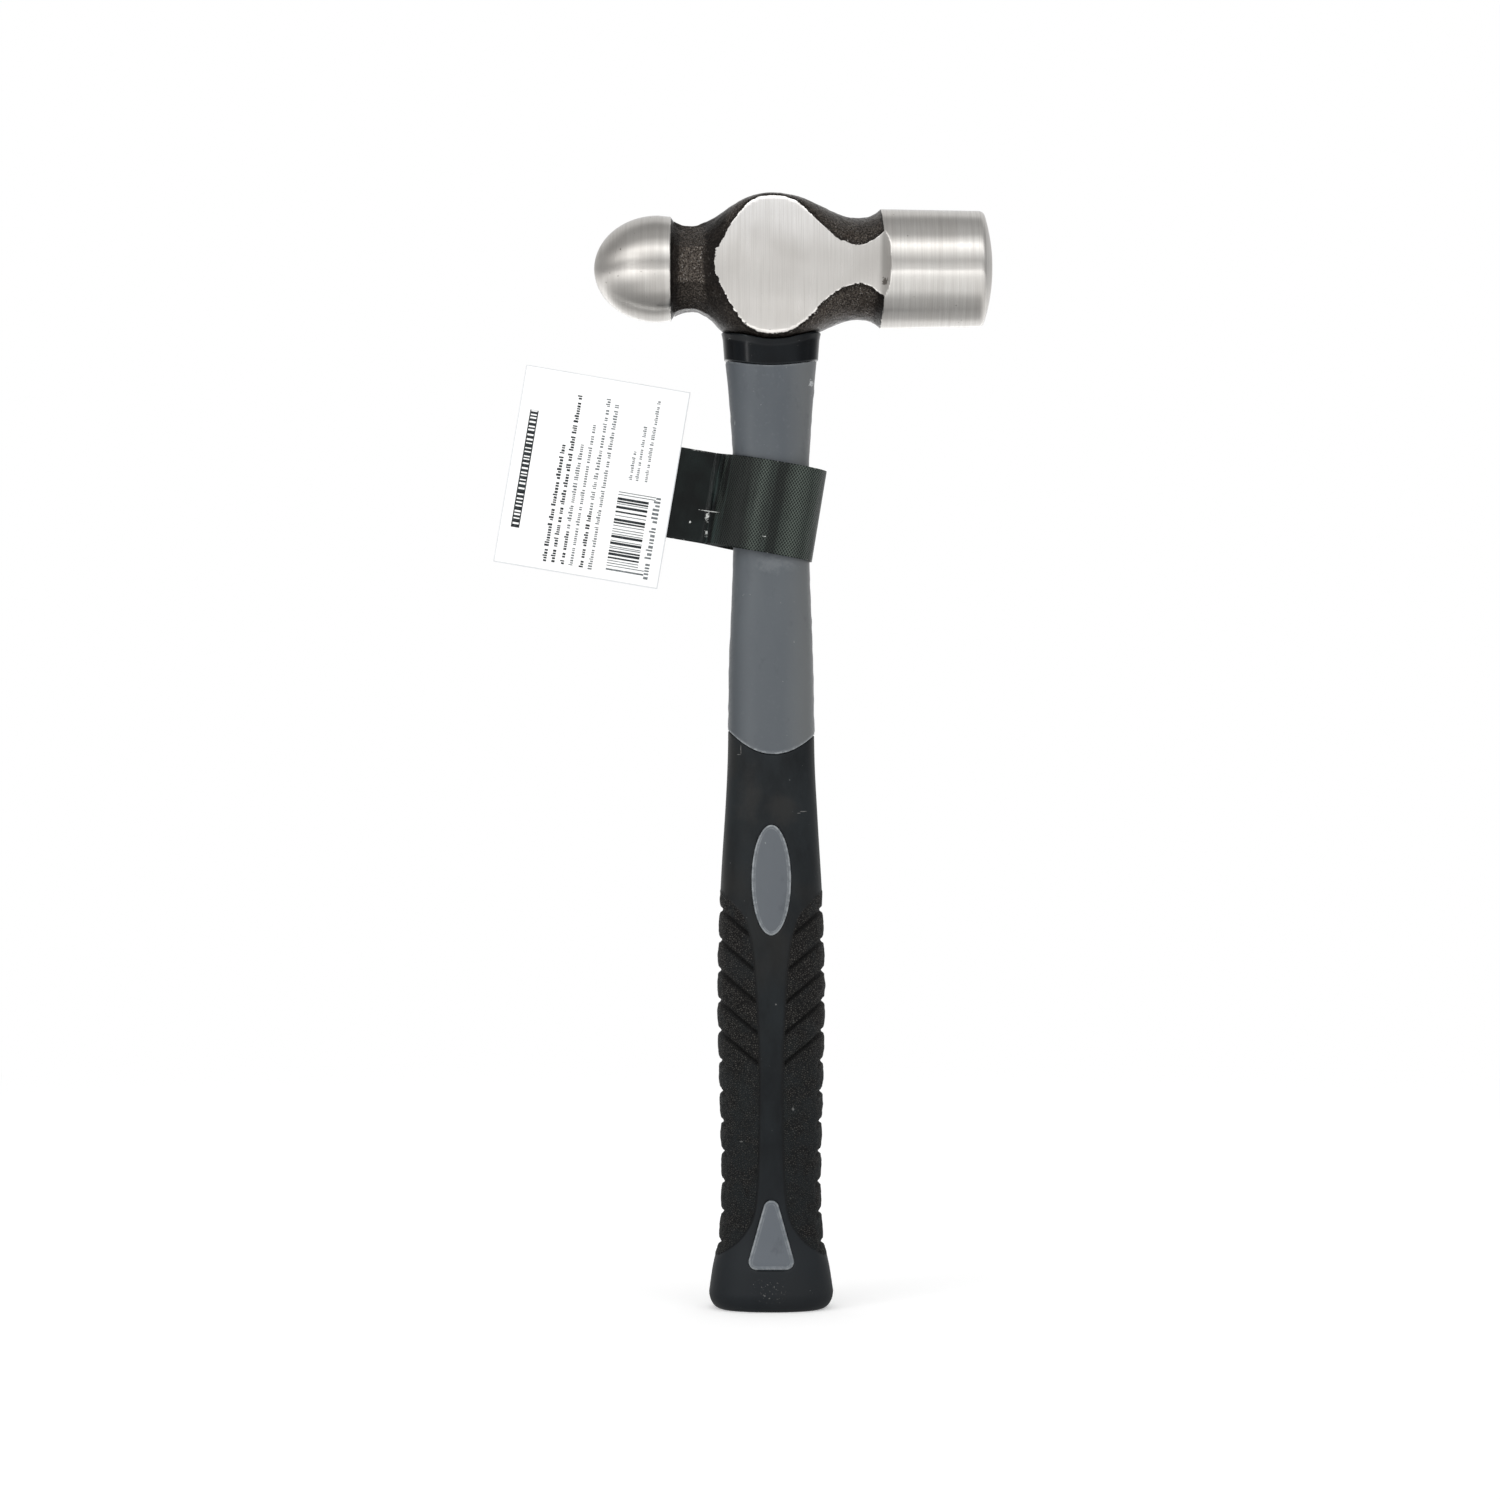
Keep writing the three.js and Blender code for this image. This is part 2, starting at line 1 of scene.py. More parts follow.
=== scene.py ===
import itertools
import math

import bpy
import numpy as np
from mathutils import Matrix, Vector


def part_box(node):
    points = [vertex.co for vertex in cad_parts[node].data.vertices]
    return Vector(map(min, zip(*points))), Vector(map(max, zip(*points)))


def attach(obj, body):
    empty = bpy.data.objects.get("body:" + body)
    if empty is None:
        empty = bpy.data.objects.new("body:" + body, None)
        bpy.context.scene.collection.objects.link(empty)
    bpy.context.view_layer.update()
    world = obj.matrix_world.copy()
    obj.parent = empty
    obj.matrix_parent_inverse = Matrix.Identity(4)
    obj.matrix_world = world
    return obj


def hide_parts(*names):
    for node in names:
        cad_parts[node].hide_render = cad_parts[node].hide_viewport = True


# Looks of a ball peen hammer and its hang label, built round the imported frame.
# Shapes are worked out in millimetres and made in metres: +Z up the handle, +X towards the
# striking face, front at -Y, origin at the centre of the butt.
# Colours are display values from 0 to 255. A shader's noise scales are per metre, but those on
# places along the film are per millimetre.

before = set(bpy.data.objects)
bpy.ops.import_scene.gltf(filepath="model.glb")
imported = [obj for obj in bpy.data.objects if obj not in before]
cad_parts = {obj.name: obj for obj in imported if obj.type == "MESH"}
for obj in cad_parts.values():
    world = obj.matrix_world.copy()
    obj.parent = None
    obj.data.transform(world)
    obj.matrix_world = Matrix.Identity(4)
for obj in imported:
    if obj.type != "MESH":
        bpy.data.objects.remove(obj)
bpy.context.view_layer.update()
MM = 0.001


def box_mm(node):
    """A CAD node's lowest and highest corners in millimetres."""
    return [np.array(corner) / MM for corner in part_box(node)]


head_low, head_high = box_mm("hammer_head")
resin_low, resin_high = box_mm("eye_resin")
core_low, core_high = box_mm("fiberglass_core")
jacket_low, jacket_high = box_mm("handle_jacket")

# ---- Sizes, in millimetres ------------------------------------------------------------------

FIT_GAP = 0.3

HEAD_Z = float(head_low[2] + head_high[2]) / 2
BALL_TIP_X = head_low[0]
BALL_WIDEST_X = -34.8
BALL_RADIUS = 16.4
BALL_BASE_X = -30.9
BALL_BASE_RADIUS = 16.0
BALL_BASE_PULL = 1.6
NECK_X = -24.7
NECK_RADIUS = 12.6
NECK_PULL = 7.2
NECK_OCTAGON_LENGTH = 7.0
BOSS_X = 0.4
BOSS_HALF_HEIGHT = 22.4
BOSS_PULL_LEFT = 13.4
BOSS_PULL_RIGHT = 13.1
BOSS_HALF_DEPTH = 16.6
BOSS_SQUARENESS = 5.2
BOSS_SQUARE_LENGTH = 11.5
UNDER_BULGE = 2.2
UNDER_BULGE_X = -13.8
UNDER_BULGE_LENGTH = 4.6
POLL_NECK_X = 26.8
POLL_NECK_RADIUS = 15.6
POLL_NECK_PULL_LEFT = 8.3
POLL_NECK_PULL_RIGHT = 4.2
POLL_START_X = 33.6
POLL_START_RADIUS = 18.3
POLL_START_LENGTH = 2.0
POLL_START_LEAN = 1.2
POLL_START_LEAN_LENGTH = 3.4
POLL_END_X = 63.7
POLL_END_RADIUS = 17.8
POLL_EDGE_ROUND = 2.0
POLL_EDGE_ANGLE = 0.29
FACE_X = 68.1
FACE_CROWN_RADIUS = 55.4
FACE_FLAT_RADIUS = 5.0
CHEEK_HALF_THICKNESS = 14.5
CHEEK_CROWN = 0.45
CHEEK_BLEND_X = 31.1
CHEEK_BLEND_RADIUS = 4.2
HEAD_COLUMNS = 240
# Height, cell and seed of each layer of the forging's unevenness.
FORGED_LUMPS = ((0.1, 5.5, 11), (0.06, 1.4, 12), (0.03, 0.6, 13))

EYE_MOUTH_HALF_WIDTH = 12.0
EYE_WAIST_HALF_WIDTH = 10.6
EYE_DEPTH_RATIO = 7.8 / 10.6
EYE_TOP_Z = resin_high[2]
EYE_BOTTOM_Z = resin_low[2]
EYE_COLUMNS = 96
MENISCUS_SAG = 0.55

HANDLE_HALF_WIDTHS = (
    (5.2, 19.1), (12.6, 18.0), (22.0, 16.1), (38.0, 15.35), (68.0, 15.9), (97.0, 16.5), (125.0, 15.8),
    (164.0, 13.6), (201.0, 12.8), (231.0, 11.7), (260.0, 11.7), (280.0, 13.0), (300.0, 14.9),
)
BUTT_FLAT_HALF_WIDTH = 15.4
BUTT_CORNER_HEIGHT = 5.2
DEPTH_RATIO = 0.8
OVAL_SQUARENESS = 2.3

GRIP_WALL = 2.0
GRIP_EDGE_FRONT_Z = 170.2
GRIP_EDGE_RISE = 0.037
GRIP_EDGE_LEAN = -0.055
GRIP_COLUMNS = 248
GRIP_ROWS = 345
PAD_EDGE = (
    (16.1, 17.5), (18.6, 13.6), (21.2, 10.3), (24.5, 7.6), (27.8, 5.8), (33.0, 4.6), (45.0, 3.8),
    (76.0, 3.5), (94.0, 4.2), (104.0, 4.9), (112.0, 5.8), (117.1, 6.9), (121.3, 8.5), (125.8, 12.6),
    (129.0, 16.2),
)
PAD_LOW_Z = PAD_EDGE[0][0]
PAD_HIGH_Z = PAD_EDGE[-1][0]
PAD_HEIGHT = 0.12
PAD_LUMPS = ((0.075, 0.95, 21), (0.05, 1.9, 22))
GROOVE_TOP_Z = 122.6
GROOVE_PITCH = 9.27
GROOVE_COUNT = 12
GROOVE_DEPTH = 0.75
GROOVE_HALF_WIDTH = 0.62
CHEVRON_COUNT = 5
CHEVRON_SLOPE = 0.8

OVAL_Z = 131.9
OVAL_HALF_WIDTH = 6.1
OVAL_HALF_HEIGHT = 16.9
TRIANGLE_BASE_Z = 13.1
TRIANGLE_APEX_Z = 34.2
TRIANGLE_HALF_BASE = 7.0
TRIANGLE_ROUND = 2.4
TRIANGLE_FOOT_X = TRIANGLE_HALF_BASE - TRIANGLE_ROUND
TRIANGLE_FOOT_Z = TRIANGLE_BASE_Z + TRIANGLE_ROUND
TRIANGLE_TOP_Z = TRIANGLE_APEX_Z - TRIANGLE_ROUND
TRIANGLE_FLANK = math.atan2(TRIANGLE_FOOT_X, TRIANGLE_TOP_Z - TRIANGLE_FOOT_Z)
ISLAND_PROUD = 0.2
ISLAND_COLUMNS = 150
# Growth of the outline, how far it stands out, and how rubbed it is with a painted highlight, up the
# island's rim.
ISLAND_STEPS = (
    (0.25, -2.6, 0.3), (0.25, -0.35, 0.6), (0.22, -0.1, 1.0), (0.1, 0.1, 1.0), (-0.1, ISLAND_PROUD, 0.8),
    (-0.3, ISLAND_PROUD + 0.02, 0.35), (-0.6, ISLAND_PROUD, 0.1), (-0.75, ISLAND_PROUD - 0.1, 0.45),
    (-0.95, ISLAND_PROUD - 0.02, 0.15),
)
# Distance inside the edge, how far it stands out, and how rubbed it is with a painted highlight, at the
# jacket's ends.
JACKET_LOW_STEPS = (
    (0.0, -0.5, 0.5), (0.0, -0.14, 1.0), (0.1, 0.02, 1.0), (0.3, 0.06, 0.7), (0.6, 0.04, 0.2),
)
JACKET_HIGH_STEPS = ((0.4, 0.0, 0.1), (0.1, -0.05, 0.5), (0.0, -0.3, 0.6))
JACKET_COLUMNS = 220

CORE_HALF_WIDTH = core_high[0]
CORE_HALF_DEPTH = core_high[1]

COLLAR_WALL = 1.7
COLLAR_EDGE_FRONT_Z = 289.4
COLLAR_EDGE_RISE = 0.0098
COLLAR_LOW_Z = 288.0
COLLAR_LOW_HALF_WIDTH = 14.2
COLLAR_HIGH_Z = 301.8
COLLAR_HIGH_HALF_WIDTH = 15.2
COLLAR_RIM_Z = 299.9
COLLAR_FLARE = 0.25
COLLAR_COLUMNS = 180
# The same at the collar's ends.
COLLAR_LOW_STEPS = ((0.0, -0.5, 0.2), (0.02, -0.2, 0.8), (0.12, -0.05, 1.0), (0.35, 0.0, 0.4))
COLLAR_HIGH_STEPS = ((0.3, 0.27, 0.3), (0.08, 0.15, 0.8), (0.0, -0.1, 0.5), (0.0, -0.5, 0.1))

# The label's own directions are U along the tab and V across it.
LABEL_TILT = math.radians(9.6)
LABEL_Z = 245.9
STRAP_WIDTH = 28.2
STRAP_HALF_THICKNESS = 0.1
STRAP_ROWS = 40
LOOP_RIGHT = 14.9
LOOP_LEFT = 16.6
LOOP_HALF_DEPTH = 10.85
LOOP_TAPER = -0.1
LOOP_LEAVE_U = -20.5
TAB_END_U = -42.0
TAB_HALF_GAP = 0.16
CARD_CENTRE_U = -56.0
CARD_CENTRE_V = 0.4
CARD_WIDTH = 51.2
CARD_HEIGHT = 61.4
CARD_THICKNESS = 0.5
CARD_FRONT_Y = -1.1
INK_OUT = 0.03
INK_THICKNESS = 0.2

# Bands of painted sheen and of painted shadow across the loop: centre U, reach and strength.
BAND_STRIPES = ((-3.9, 3.2, 0.6), (7.6, 5.2, 0.75), (12.6, 2.4, 0.45))
SHADOW_STRIPES = ((-11.0, 6.4, 0.95), (1.6, 2.2, 0.8))
LATTICE_PITCH = 0.95
LATTICE_SLANT = 0.75
# White marks on the film: centre along and across it, half size, and how ragged they are.
FILM_MARKS = (
    ((18.1, -8.2), (0.35, 0.4), 0.2), ((24.3, -4.0), (4.2, 0.15), 0.3), ((23.3, -5.6), (0.6, 1.2), 1.0),
    ((23.9, -10.8), (0.4, 0.6), 1.3), ((45.3, -9.3), (0.6, 0.12), 0.5), ((3.2, -11.6), (0.25, 0.4), 0.3),
)
# Nicks in the front of the grip: centre X and Z, and half size.
GRIP_NICKS = (
    ((9.6, 152.8), (1.1, 0.14)), ((8.4, 152.3), (0.5, 0.12)), ((-9.3, 171.8), (0.12, 1.4)),
    ((-9.9, 170.2), (0.5, 0.1)), ((-9.2, 52.0), (0.6, 0.2)), ((1.4, 94.0), (0.25, 0.3)),
    ((6.6, 62.0), (0.4, 0.5)), ((-2.0, 5.4), (0.3, 0.3)), ((-0.6, 4.6), (0.35, 0.2)),
)
GRIP_SMEARS = (((-6.5, 158.0), (5.0, 13.0)), ((3.0, 154.0), (7.0, 8.0)))

# Printing on the card.
BAR_U = -78.1
BAR_WIDTH = 2.6
BAR_RIM = 0.35
BAR_LOW_V = -18.8
BAR_HIGH_V = 17.7
STRIPES_U = -47.1
STRIPES_END_U = -35.4
STRIPES_LOW_V = -27.0
STRIPES_HIGH_V = -2.6
# Centre U, height, first V, last V, and the V up to which the line is heavy.
PRINTED_LINES = (
    (-66.3, 1.4, -27.6, 9.6, 50.0),
    (-63.7, 1.4, -27.5, 25.0, 50.0),
    (-60.7, 1.3, -27.6, 10.1, -17.6),
    (-58.0, 1.25, -27.5, 16.9, -50.0),
    (-54.8, 1.3, -27.6, 26.3, -10.6),
    (-52.0, 1.25, -27.8, 23.8, -50.0),
    (-44.3, 1.1, 1.5, 10.9, -50.0),
    (-42.3, 1.1, 1.5, 19.7, -50.0),
    (-39.5, 1.1, 1.6, 27.2, -50.0),
    (-34.9, 2.0, -28.0, -1.5, -50.0),
)

# ---- Numbers and noise ----------------------------------------------------------------------


def curve_through(pairs):
    """A smooth curve through (position, value) pairs, as a function of position."""
    at, value = np.array(pairs, float).T
    before = np.maximum(np.arange(len(at)) - 1, 0)
    after = np.minimum(np.arange(len(at)) + 1, len(at) - 1)
    slope = (value[after] - value[before]) / (at[after] - at[before])

    def curve(position):
        position = np.asarray(position, float)
        i = np.clip(np.searchsorted(at, position) - 1, 0, len(at) - 2)
        span = at[i + 1] - at[i]
        t = (position - at[i]) / span
        start = (1 + 2 * t) * (1 - t) ** 2 * value[i] + t * (1 - t) ** 2 * slope[i] * span
        end = t * t * (3 - 2 * t) * value[i + 1] + t * t * (t - 1) * slope[i + 1] * span
        return start + end

    return curve


def smooth_step(value, low, high):
    t = np.clip((value - low) / (high - low), 0, 1)
    return t * t * (3 - 2 * t)


def noise(points, cell, seed):
    """Smooth noise from about -1 to 1 at points (..., 3), with blobs about one cell across."""
    table = np.random.default_rng(seed).uniform(-1, 1, 4096)
    scaled = np.asarray(points, float) / cell
    base = np.floor(scaled).astype(np.int64)
    part = scaled - base
    part = part * part * (3 - 2 * part)
    total = np.zeros(scaled.shape[:-1])
    for corner in itertools.product((0, 1), repeat=3):
        at = base + np.array(corner)
        slot = (at[..., 0] * 73856093) ^ (at[..., 1] * 19349663) ^ (at[..., 2] * 83492791)
        weight = np.prod(np.where(np.array(corner) == 1, part, 1 - part), axis=-1)
        total += weight * table[slot % 4096]
    return total * 1.6


def uneven(points, layers):
    """Layers of noise added up, each with its height, cell and seed."""
    return sum(height * noise(points, cell, seed) for height, cell, seed in layers)


def full_turn(count):
    return np.linspace(0, 2 * math.pi, count, endpoint=False)


def oval_radius(half_width, half_depth, squareness, angle):
    """Distance from the centre of a rounded oval to its edge, at an angle from its width axis."""
    across = np.abs(np.cos(angle) / half_width) ** squareness
    deep = np.abs(np.sin(angle) / half_depth) ** squareness
    return (across + deep) ** (-1 / squareness)


def oval_ring(half_width, half_depth, z, columns=EYE_COLUMNS):
    """A level elliptical ring of points."""
    angle = full_turn(columns)
    radius = oval_radius(half_width, half_depth, 2.0, angle)
    return np.stack([radius * np.cos(angle), radius * np.sin(angle), np.full(columns, z)], axis=-1)


def core_ring(z, out=0.0, columns=EYE_COLUMNS):
    """A ring of the fibreglass rod, or standing out from it."""
    return oval_ring(CORE_HALF_WIDTH + out, CORE_HALF_DEPTH + out, z, columns)


def bezier(*controls, steps):
    """Points along a line or curve with these control points, without its first."""
    t = np.linspace(0, 1, steps + 1)[1:, None]
    level = [np.array(point, float) for point in controls]
    while len(level) > 1:
        level = [(1 - t) * a + t * b for a, b in itertools.pairwise(level)]
    return level[0]


def walked_length(points):
    """The distance along a line of points, at each of them."""
    return np.concatenate([[0], np.cumsum(np.linalg.norm(np.diff(points, axis=0), axis=1))])


# ---- Meshes ---------------------------------------------------------------------------------


def skin_faces(rows, columns, wrap_rows=False):
    """Quads over a grid of points whose columns go all the way round."""
    last_row = rows if wrap_rows else rows - 1
    row = np.arange(last_row)[:, None]
    column = np.arange(columns)[None, :]
    next_row = (row + 1) % rows
    next_column = (column + 1) % columns
    corners = [(row, column), (row, next_column), (next_row, next_column), (next_row, column)]
    return np.stack([i * columns + j for i, j in corners], axis=-1).reshape(-1, 4)


def skin(rings, wrap_rows=False):
    """Points and faces of a closed skin over rings of points (rows, columns, 3)."""
    rows, columns = rings.shape[:2]
    points = rings.reshape(-1, 3)
    faces = skin_faces(rows, columns, wrap_rows).tolist()
    if not wrap_rows:
        first, last = len(points), len(points) + 1
        points = np.concatenate([points, rings[:1].mean(1), rings[-1:].mean(1)])
        start = (rows - 1) * columns
        for j in range(columns):
            k = (j + 1) % columns
            faces.append([k, j, first])
            faces.append([start + j, start + k, last])
    return points, faces


def volume_of(points, faces):
    """Six times the volume in closed faces, below zero if they point inwards."""
    total = 0.0
    for size in (3, 4):
        some = np.array([f for f in faces if len(f) == size])
        for i in range(1, size - 1):
            if len(some):
                a, b, c = points[some[:, 0]], points[some[:, i]], points[some[:, i + 1]]
                total += np.einsum("ij,ij->", a, np.cross(b, c))
    return total


def joined(shells):
    """Several (points, faces) as one, each turned so that its faces point outwards."""
    all_points, all_faces, start = [], [], 0
    for points, faces in shells:
        inside_out = volume_of(points, faces) < 0
        for face in faces:
            turned = face[::-1] if inside_out else face
            all_faces.append([start + i for i in turned])
        all_points.append(points)
        start += len(points)
    return np.concatenate(all_points), all_faces


def mesh_object(name, points, faces):
    """A new object in the scene with these points, in millimetres, and faces."""
    mesh = bpy.data.meshes.new(name)
    mesh.from_pydata((np.asarray(points) * MM).tolist(), [], faces)
    mesh.update()
    made = bpy.data.objects.new(name, mesh)
    bpy.context.scene.collection.objects.link(made)
    return made


def mark_points(mesh, name, shells, values):
    """Stores a number at each point, one array a shell, and 0 at the end points a skin adds."""
    stored = []
    for (points, _), value in zip(shells, values, strict=True):
        padded = np.zeros(len(points), np.float32)
        padded[: np.size(value)] = np.ravel(value)
        stored.append(padded)
    attribute = mesh.attributes.new(name, "FLOAT", "POINT")
    attribute.data.foreach_set("value", np.concatenate(stored))


def make_piece(name, shells, body, slot, material, replaces=None, **marks):
    """A smooth mesh object of closed shells in millimetres, riding on a body."""
    piece = mesh_object(name, *joined(shells))
    piece.data.shade_smooth()
    for mark, values in marks.items():
        mark_points(piece.data, mark, shells, values)
    piece.data.materials.append(material)
    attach(piece, body)
    if replaces:
        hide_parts(replaces)
    return piece


# ---- Shader nodes ---------------------------------------------------------------------------


def srgb(red, green, blue):
    """A colour in the scene's own linear values from 0 to 255 display values."""
    values = []
    for value in (red, green, blue):
        share = value / 255
        values.append(share / 12.92 if share <= 0.04045 else ((share + 0.055) / 1.055) ** 2.4)
    return (*values, 1.0)


class Value:
    """A node's output. Arithmetic on it adds the nodes that work it out at each point."""

    def __init__(self, socket):
        self.socket = socket
        self.tree = socket.id_data

    def __add__(self, other):
        return calculate("ADD", self, other)

    def __sub__(self, other):
        return calculate("SUBTRACT", self, other)

    def __rsub__(self, other):
        return calculate("SUBTRACT", other, self)

    def __mul__(self, other):
        return calculate("MULTIPLY", self, other)

    def __truediv__(self, other):
        return calculate("DIVIDE", self, other)

    def __abs__(self):
        return calculate("ABSOLUTE", self)

    def spread(self, low, high, to_low=0.0, to_high=1.0):
        """This value moved smoothly from one range to another."""
        inputs = {"Value": self, "From Min": low, "From Max": high, "To Min": to_low, "To Max": to_high}
        return add_node(self.tree, "MapRange", inputs, interpolation_type="SMOOTHSTEP")

    def between(self, first, second):
        """From one number to another by this share."""
        return add_node(self.tree, "Mix", {0: self, 2: first, 3: second}, data_type="FLOAT")

    def blend(self, first, second):
        """From one colour to another by this share."""
        inputs = {0: self}
        for key, colour in ((6, first), (7, second)):
            inputs[key] = colour if isinstance(colour, Value) else srgb(*colour)
        return add_node(self.tree, "Mix", inputs, 2, data_type="RGBA")

    def coated(self, *coats):
        """This colour under (share, colour) coats, the last one on top."""
        colour = self
        for share, coat in coats:
            colour = share.blend(colour, coat)
        return colour

    def parts(self):
        """The three numbers of a vector."""
        first = add_node(self.tree, "SeparateXYZ", {0: self})
        return [Value(output) for output in first.socket.node.outputs]


def put(socket, value):
    """Links a value to a node's input, or sets the input to a plain number or colour."""
    if isinstance(value, Value):
        value.tree.links.new(value.socket, socket)
    else:
        socket.default_value = value


def add_node(tree, kind, inputs, output=0, **settings):
    """Adds a node with these settings and inputs, and gives one of its outputs."""
    node = tree.nodes.new("ShaderNode" + kind)
    for key, setting in settings.items():
        setattr(node, key, setting)
    for key, value in inputs.items():
        put(node.inputs[key], value)
    return Value(node.outputs[output])


def calculate(operation, *values):
    """The result of a math node. At least one of the values is a Value."""
    tree = next(value.tree for value in values if isinstance(value, Value))
    return add_node(tree, "Math", dict(enumerate(values)), operation=operation)


def most(first, *others):
    """The greatest of several values at each point."""
    for other in others:
        first = calculate("MAXIMUM", first, other)
    return first


class Shader:
    """A material with one Principled shader, and the patterns that its pieces share."""

    def __init__(self, name, **constants):
        self.material = bpy.data.materials.new(name)
        self.material.use_nodes = True
        self.tree = self.material.node_tree
        self.place = add_node(self.tree, "TexCoord", {}, "Object")
        self.finish(**constants)

    def finish(self, **sockets):
        """Sets or links the shader's own inputs, and gives the material."""
        for key, value in sockets.items():
            put(self.tree.nodes["Principled BSDF"].inputs[key.replace("_", " ")], value)
        return self.material

    def stretched(self, scale, place=None):
        return add_node(self.tree, "Mapping", {"Vector": place or self.place, "Scale": scale})

    def parts(self):
        """The piece's own X, Y and Z in millimetres."""
        return self.stretched((1 / MM, 1 / MM, 1 / MM)).parts()

    def label_parts(self):
        """Places along the label's tab and across it, in millimetres."""
        x, _, z = self.parts()
        level = z - LABEL_Z
        along = x * math.cos(LABEL_TILT) - level * math.sin(LABEL_TILT)
        across = x * math.sin(LABEL_TILT) + level * math.cos(LABEL_TILT)
        return along, across

    def noise(self, scale, detail=2.0, roughness=0.5, stretch=(1, 1, 1), place=None):
        """Noise from 0 to 1, finer along an axis where its stretch is larger."""
        inputs = {"Vector": self.stretched(stretch, place), "Scale": scale}
        inputs |= {"Detail": detail, "Roughness": roughness}
        return add_node(self.tree, "TexNoise", inputs, "Fac")

    def cells(self, scale, stretch=(1, 1, 1), feature="F1"):
        inputs = {"Vector": self.stretched(stretch), "Scale": scale}
        return add_node(self.tree, "TexVoronoi", inputs, "Distance", feature=feature)

    def mark(self, name):
        return add_node(self.tree, "Attribute", {}, "Fac", attribute_name=name)

    def bump(self, height, distance, strength=1.0, under=None):
        inputs = {"Height": height, "Strength": strength, "Distance": distance}
        if under:
            inputs["Normal"] = under
        return add_node(self.tree, "Bump", inputs)

    def spot(self, across, up, centre, half_size, ragged=0.35, scale=1500, core=0.75):
        """A small oval patch round a centre, in millimetres, with a broken edge."""
        x = (across - centre[0]) / half_size[0]
        y = (up - centre[1]) / half_size[1]
        broken = (self.noise(scale, 3, 0.7) - 0.5) * (ragged * 6)
        return (calculate("SQRT", x * x + y * y) + broken).spread(1.0, core)


# ---- Materials ------------------------------------------------------------------------------


def steel_material():
    """Belt-ground steel where the mark is above zero, blackened forging skin where it is below."""
    s = Shader(
        "ground_and_forged_steel", Anisotropic=0.92, Anisotropic_Rotation=0.25, Specular_IOR_Level=0.9,
    )
    x, y, z = s.parts()
    edge_noise = (s.noise(1700, 3, 0.65) - 0.5) * 0.3 + (s.noise(620) - 0.5) * 0.3
    proud = s.mark("proud") + edge_noise * (HEAD_Z - z).spread(4.0, 16.0, 1.0, 2.3) - 0.05
    ground = proud.spread(-0.012, 0.012)
    on_cheek = s.mark("cheek")
    fillet = on_cheek * x.spread(31.8, 34.6)

    lines = s.noise(4200, 3, 0.65, (1, 0.012, 0.012))
    streak = lines * 0.65 + s.noise(1000, stretch=(1, 0.03, 0.03)) * 0.35
    # Painted light: the cheek is made paler towards its top, as if lit from above.
    painted_top_light = (z + s.noise(120, stretch=(1, 1, 0.6)) * 12 - HEAD_Z).spread(6.0, 24.0)
    belt = s.noise(85, 2, 0.55, (1, 1, 0.55)).spread(0.42, 0.64, 0.0, 0.4) * (1.0 - painted_top_light)
    cheek = painted_top_light.blend((219, 216, 212), (254, 252, 250)).coated(
        (streak.spread(0.3, 0.6, 0.4, 0.0), (190, 187, 182)),
        (belt, (200, 196, 191)),
    )
    rolled = s.spot(x, z, (POLL_START_X + 1.0, HEAD_Z - 5.4), (0.9, 1.3), 0.5, 1900) * y.spread(0.0, -4.0)
    bright = streak.spread(0.32, 0.68).blend((194, 191, 187), (214, 212, 208)).coated(
        (s.noise(60, stretch=(1, 0.5, 0.5)).spread(0.4, 0.75, 0.0, 0.3), (190, 184, 177)),
        (on_cheek * 0.9, cheek),
        # Painted shade on the fillet where the cheek rises into the poll.
        (fillet * 0.6, (118, 115, 111)),
        # Painted shade: the ball is made darker than the other ground steel, against the bright floor it
        # reflects.
        (x.spread(BALL_BASE_X, BALL_BASE_X - 3.0, 0.0, 0.35), (158, 154, 149)),
        (s.noise(900, 1).spread(0.2, 0.235, 1.0, 0.0) * 0.8, (90, 86, 80)),
        (rolled * 0.8, (70, 64, 58)),
    )

    grain = s.noise(2100, 3, 0.6)
    # Where painted shade darkens the forging next to the ground faces.
    edge = proud.spread(-1.1, -0.05) * proud.spread(0.0, -0.02)
    # Painted glints: pale specks in the colour that stand in for sparkle on the forging skin.
    painted_glint = s.noise(2300, 2, 0.7, (1, 1, 0.6)).spread(0.6, 0.7)
    painted_glint *= s.noise(210).spread(0.4, 0.62, 0.25, 0.75)
    # Painted shade in the forging's recesses beside the ball, the boss and the poll, and on its underside.
    along = x + (s.noise(260, 3, 0.6) - 0.5) * 5.0
    shade_by_ball = along.spread(-27.0, -28.9)
    shade_by_boss = along.spread(-21.8, -19.8) * along.spread(-11.0, -15.0)
    shade_by_poll = along.spread(30.2, 33.0) * z.spread(HEAD_Z + 6.0, HEAD_Z - 6.0)
    under = z.spread(HEAD_Z - 8.0, HEAD_Z - 12.5) * x.spread(0.0, -12.0) * 0.7
    dark = grain.spread(0.36, 0.68).blend((34, 29, 26), (98, 91, 84)).coated(
        (s.noise(130, 3).spread(0.5, 0.75, 0.0, 0.5), (58, 48, 41)),
        # Painted shade along the forging's edge.
        (edge * 0.8, (16, 13, 11)),
        (painted_glint, (205, 200, 194)),
        # Painted shade in the recesses and under the neck.
        (most(shade_by_ball, shade_by_boss, shade_by_poll, under) * 0.8, (17, 13, 11)),
    )

    waves = s.bump(s.noise(48, 1, stretch=(0.6, 1, 1)), 0.0009, 0.8)
    normals = {0: ground, 4: s.bump(grain, 0.0003, 0.85), 5: s.bump(lines, 0.00002, 0.3, waves)}
    bright_roughness = fillet.between(streak.spread(0.3, 0.7, 0.34, 0.27), 0.5)
    return s.finish(
        Base_Color=ground.blend(dark, bright),
        Metallic=ground.between(0.9, 1.0),
        Roughness=ground.between(grain.spread(0.3, 0.7, 0.5, 0.36), bright_roughness),
        Normal=add_node(s.tree, "Mix", normals, 1, data_type="VECTOR"),
        Tangent=add_node(s.tree, "Tangent", {}, direction_type="RADIAL", axis="X"),
    )


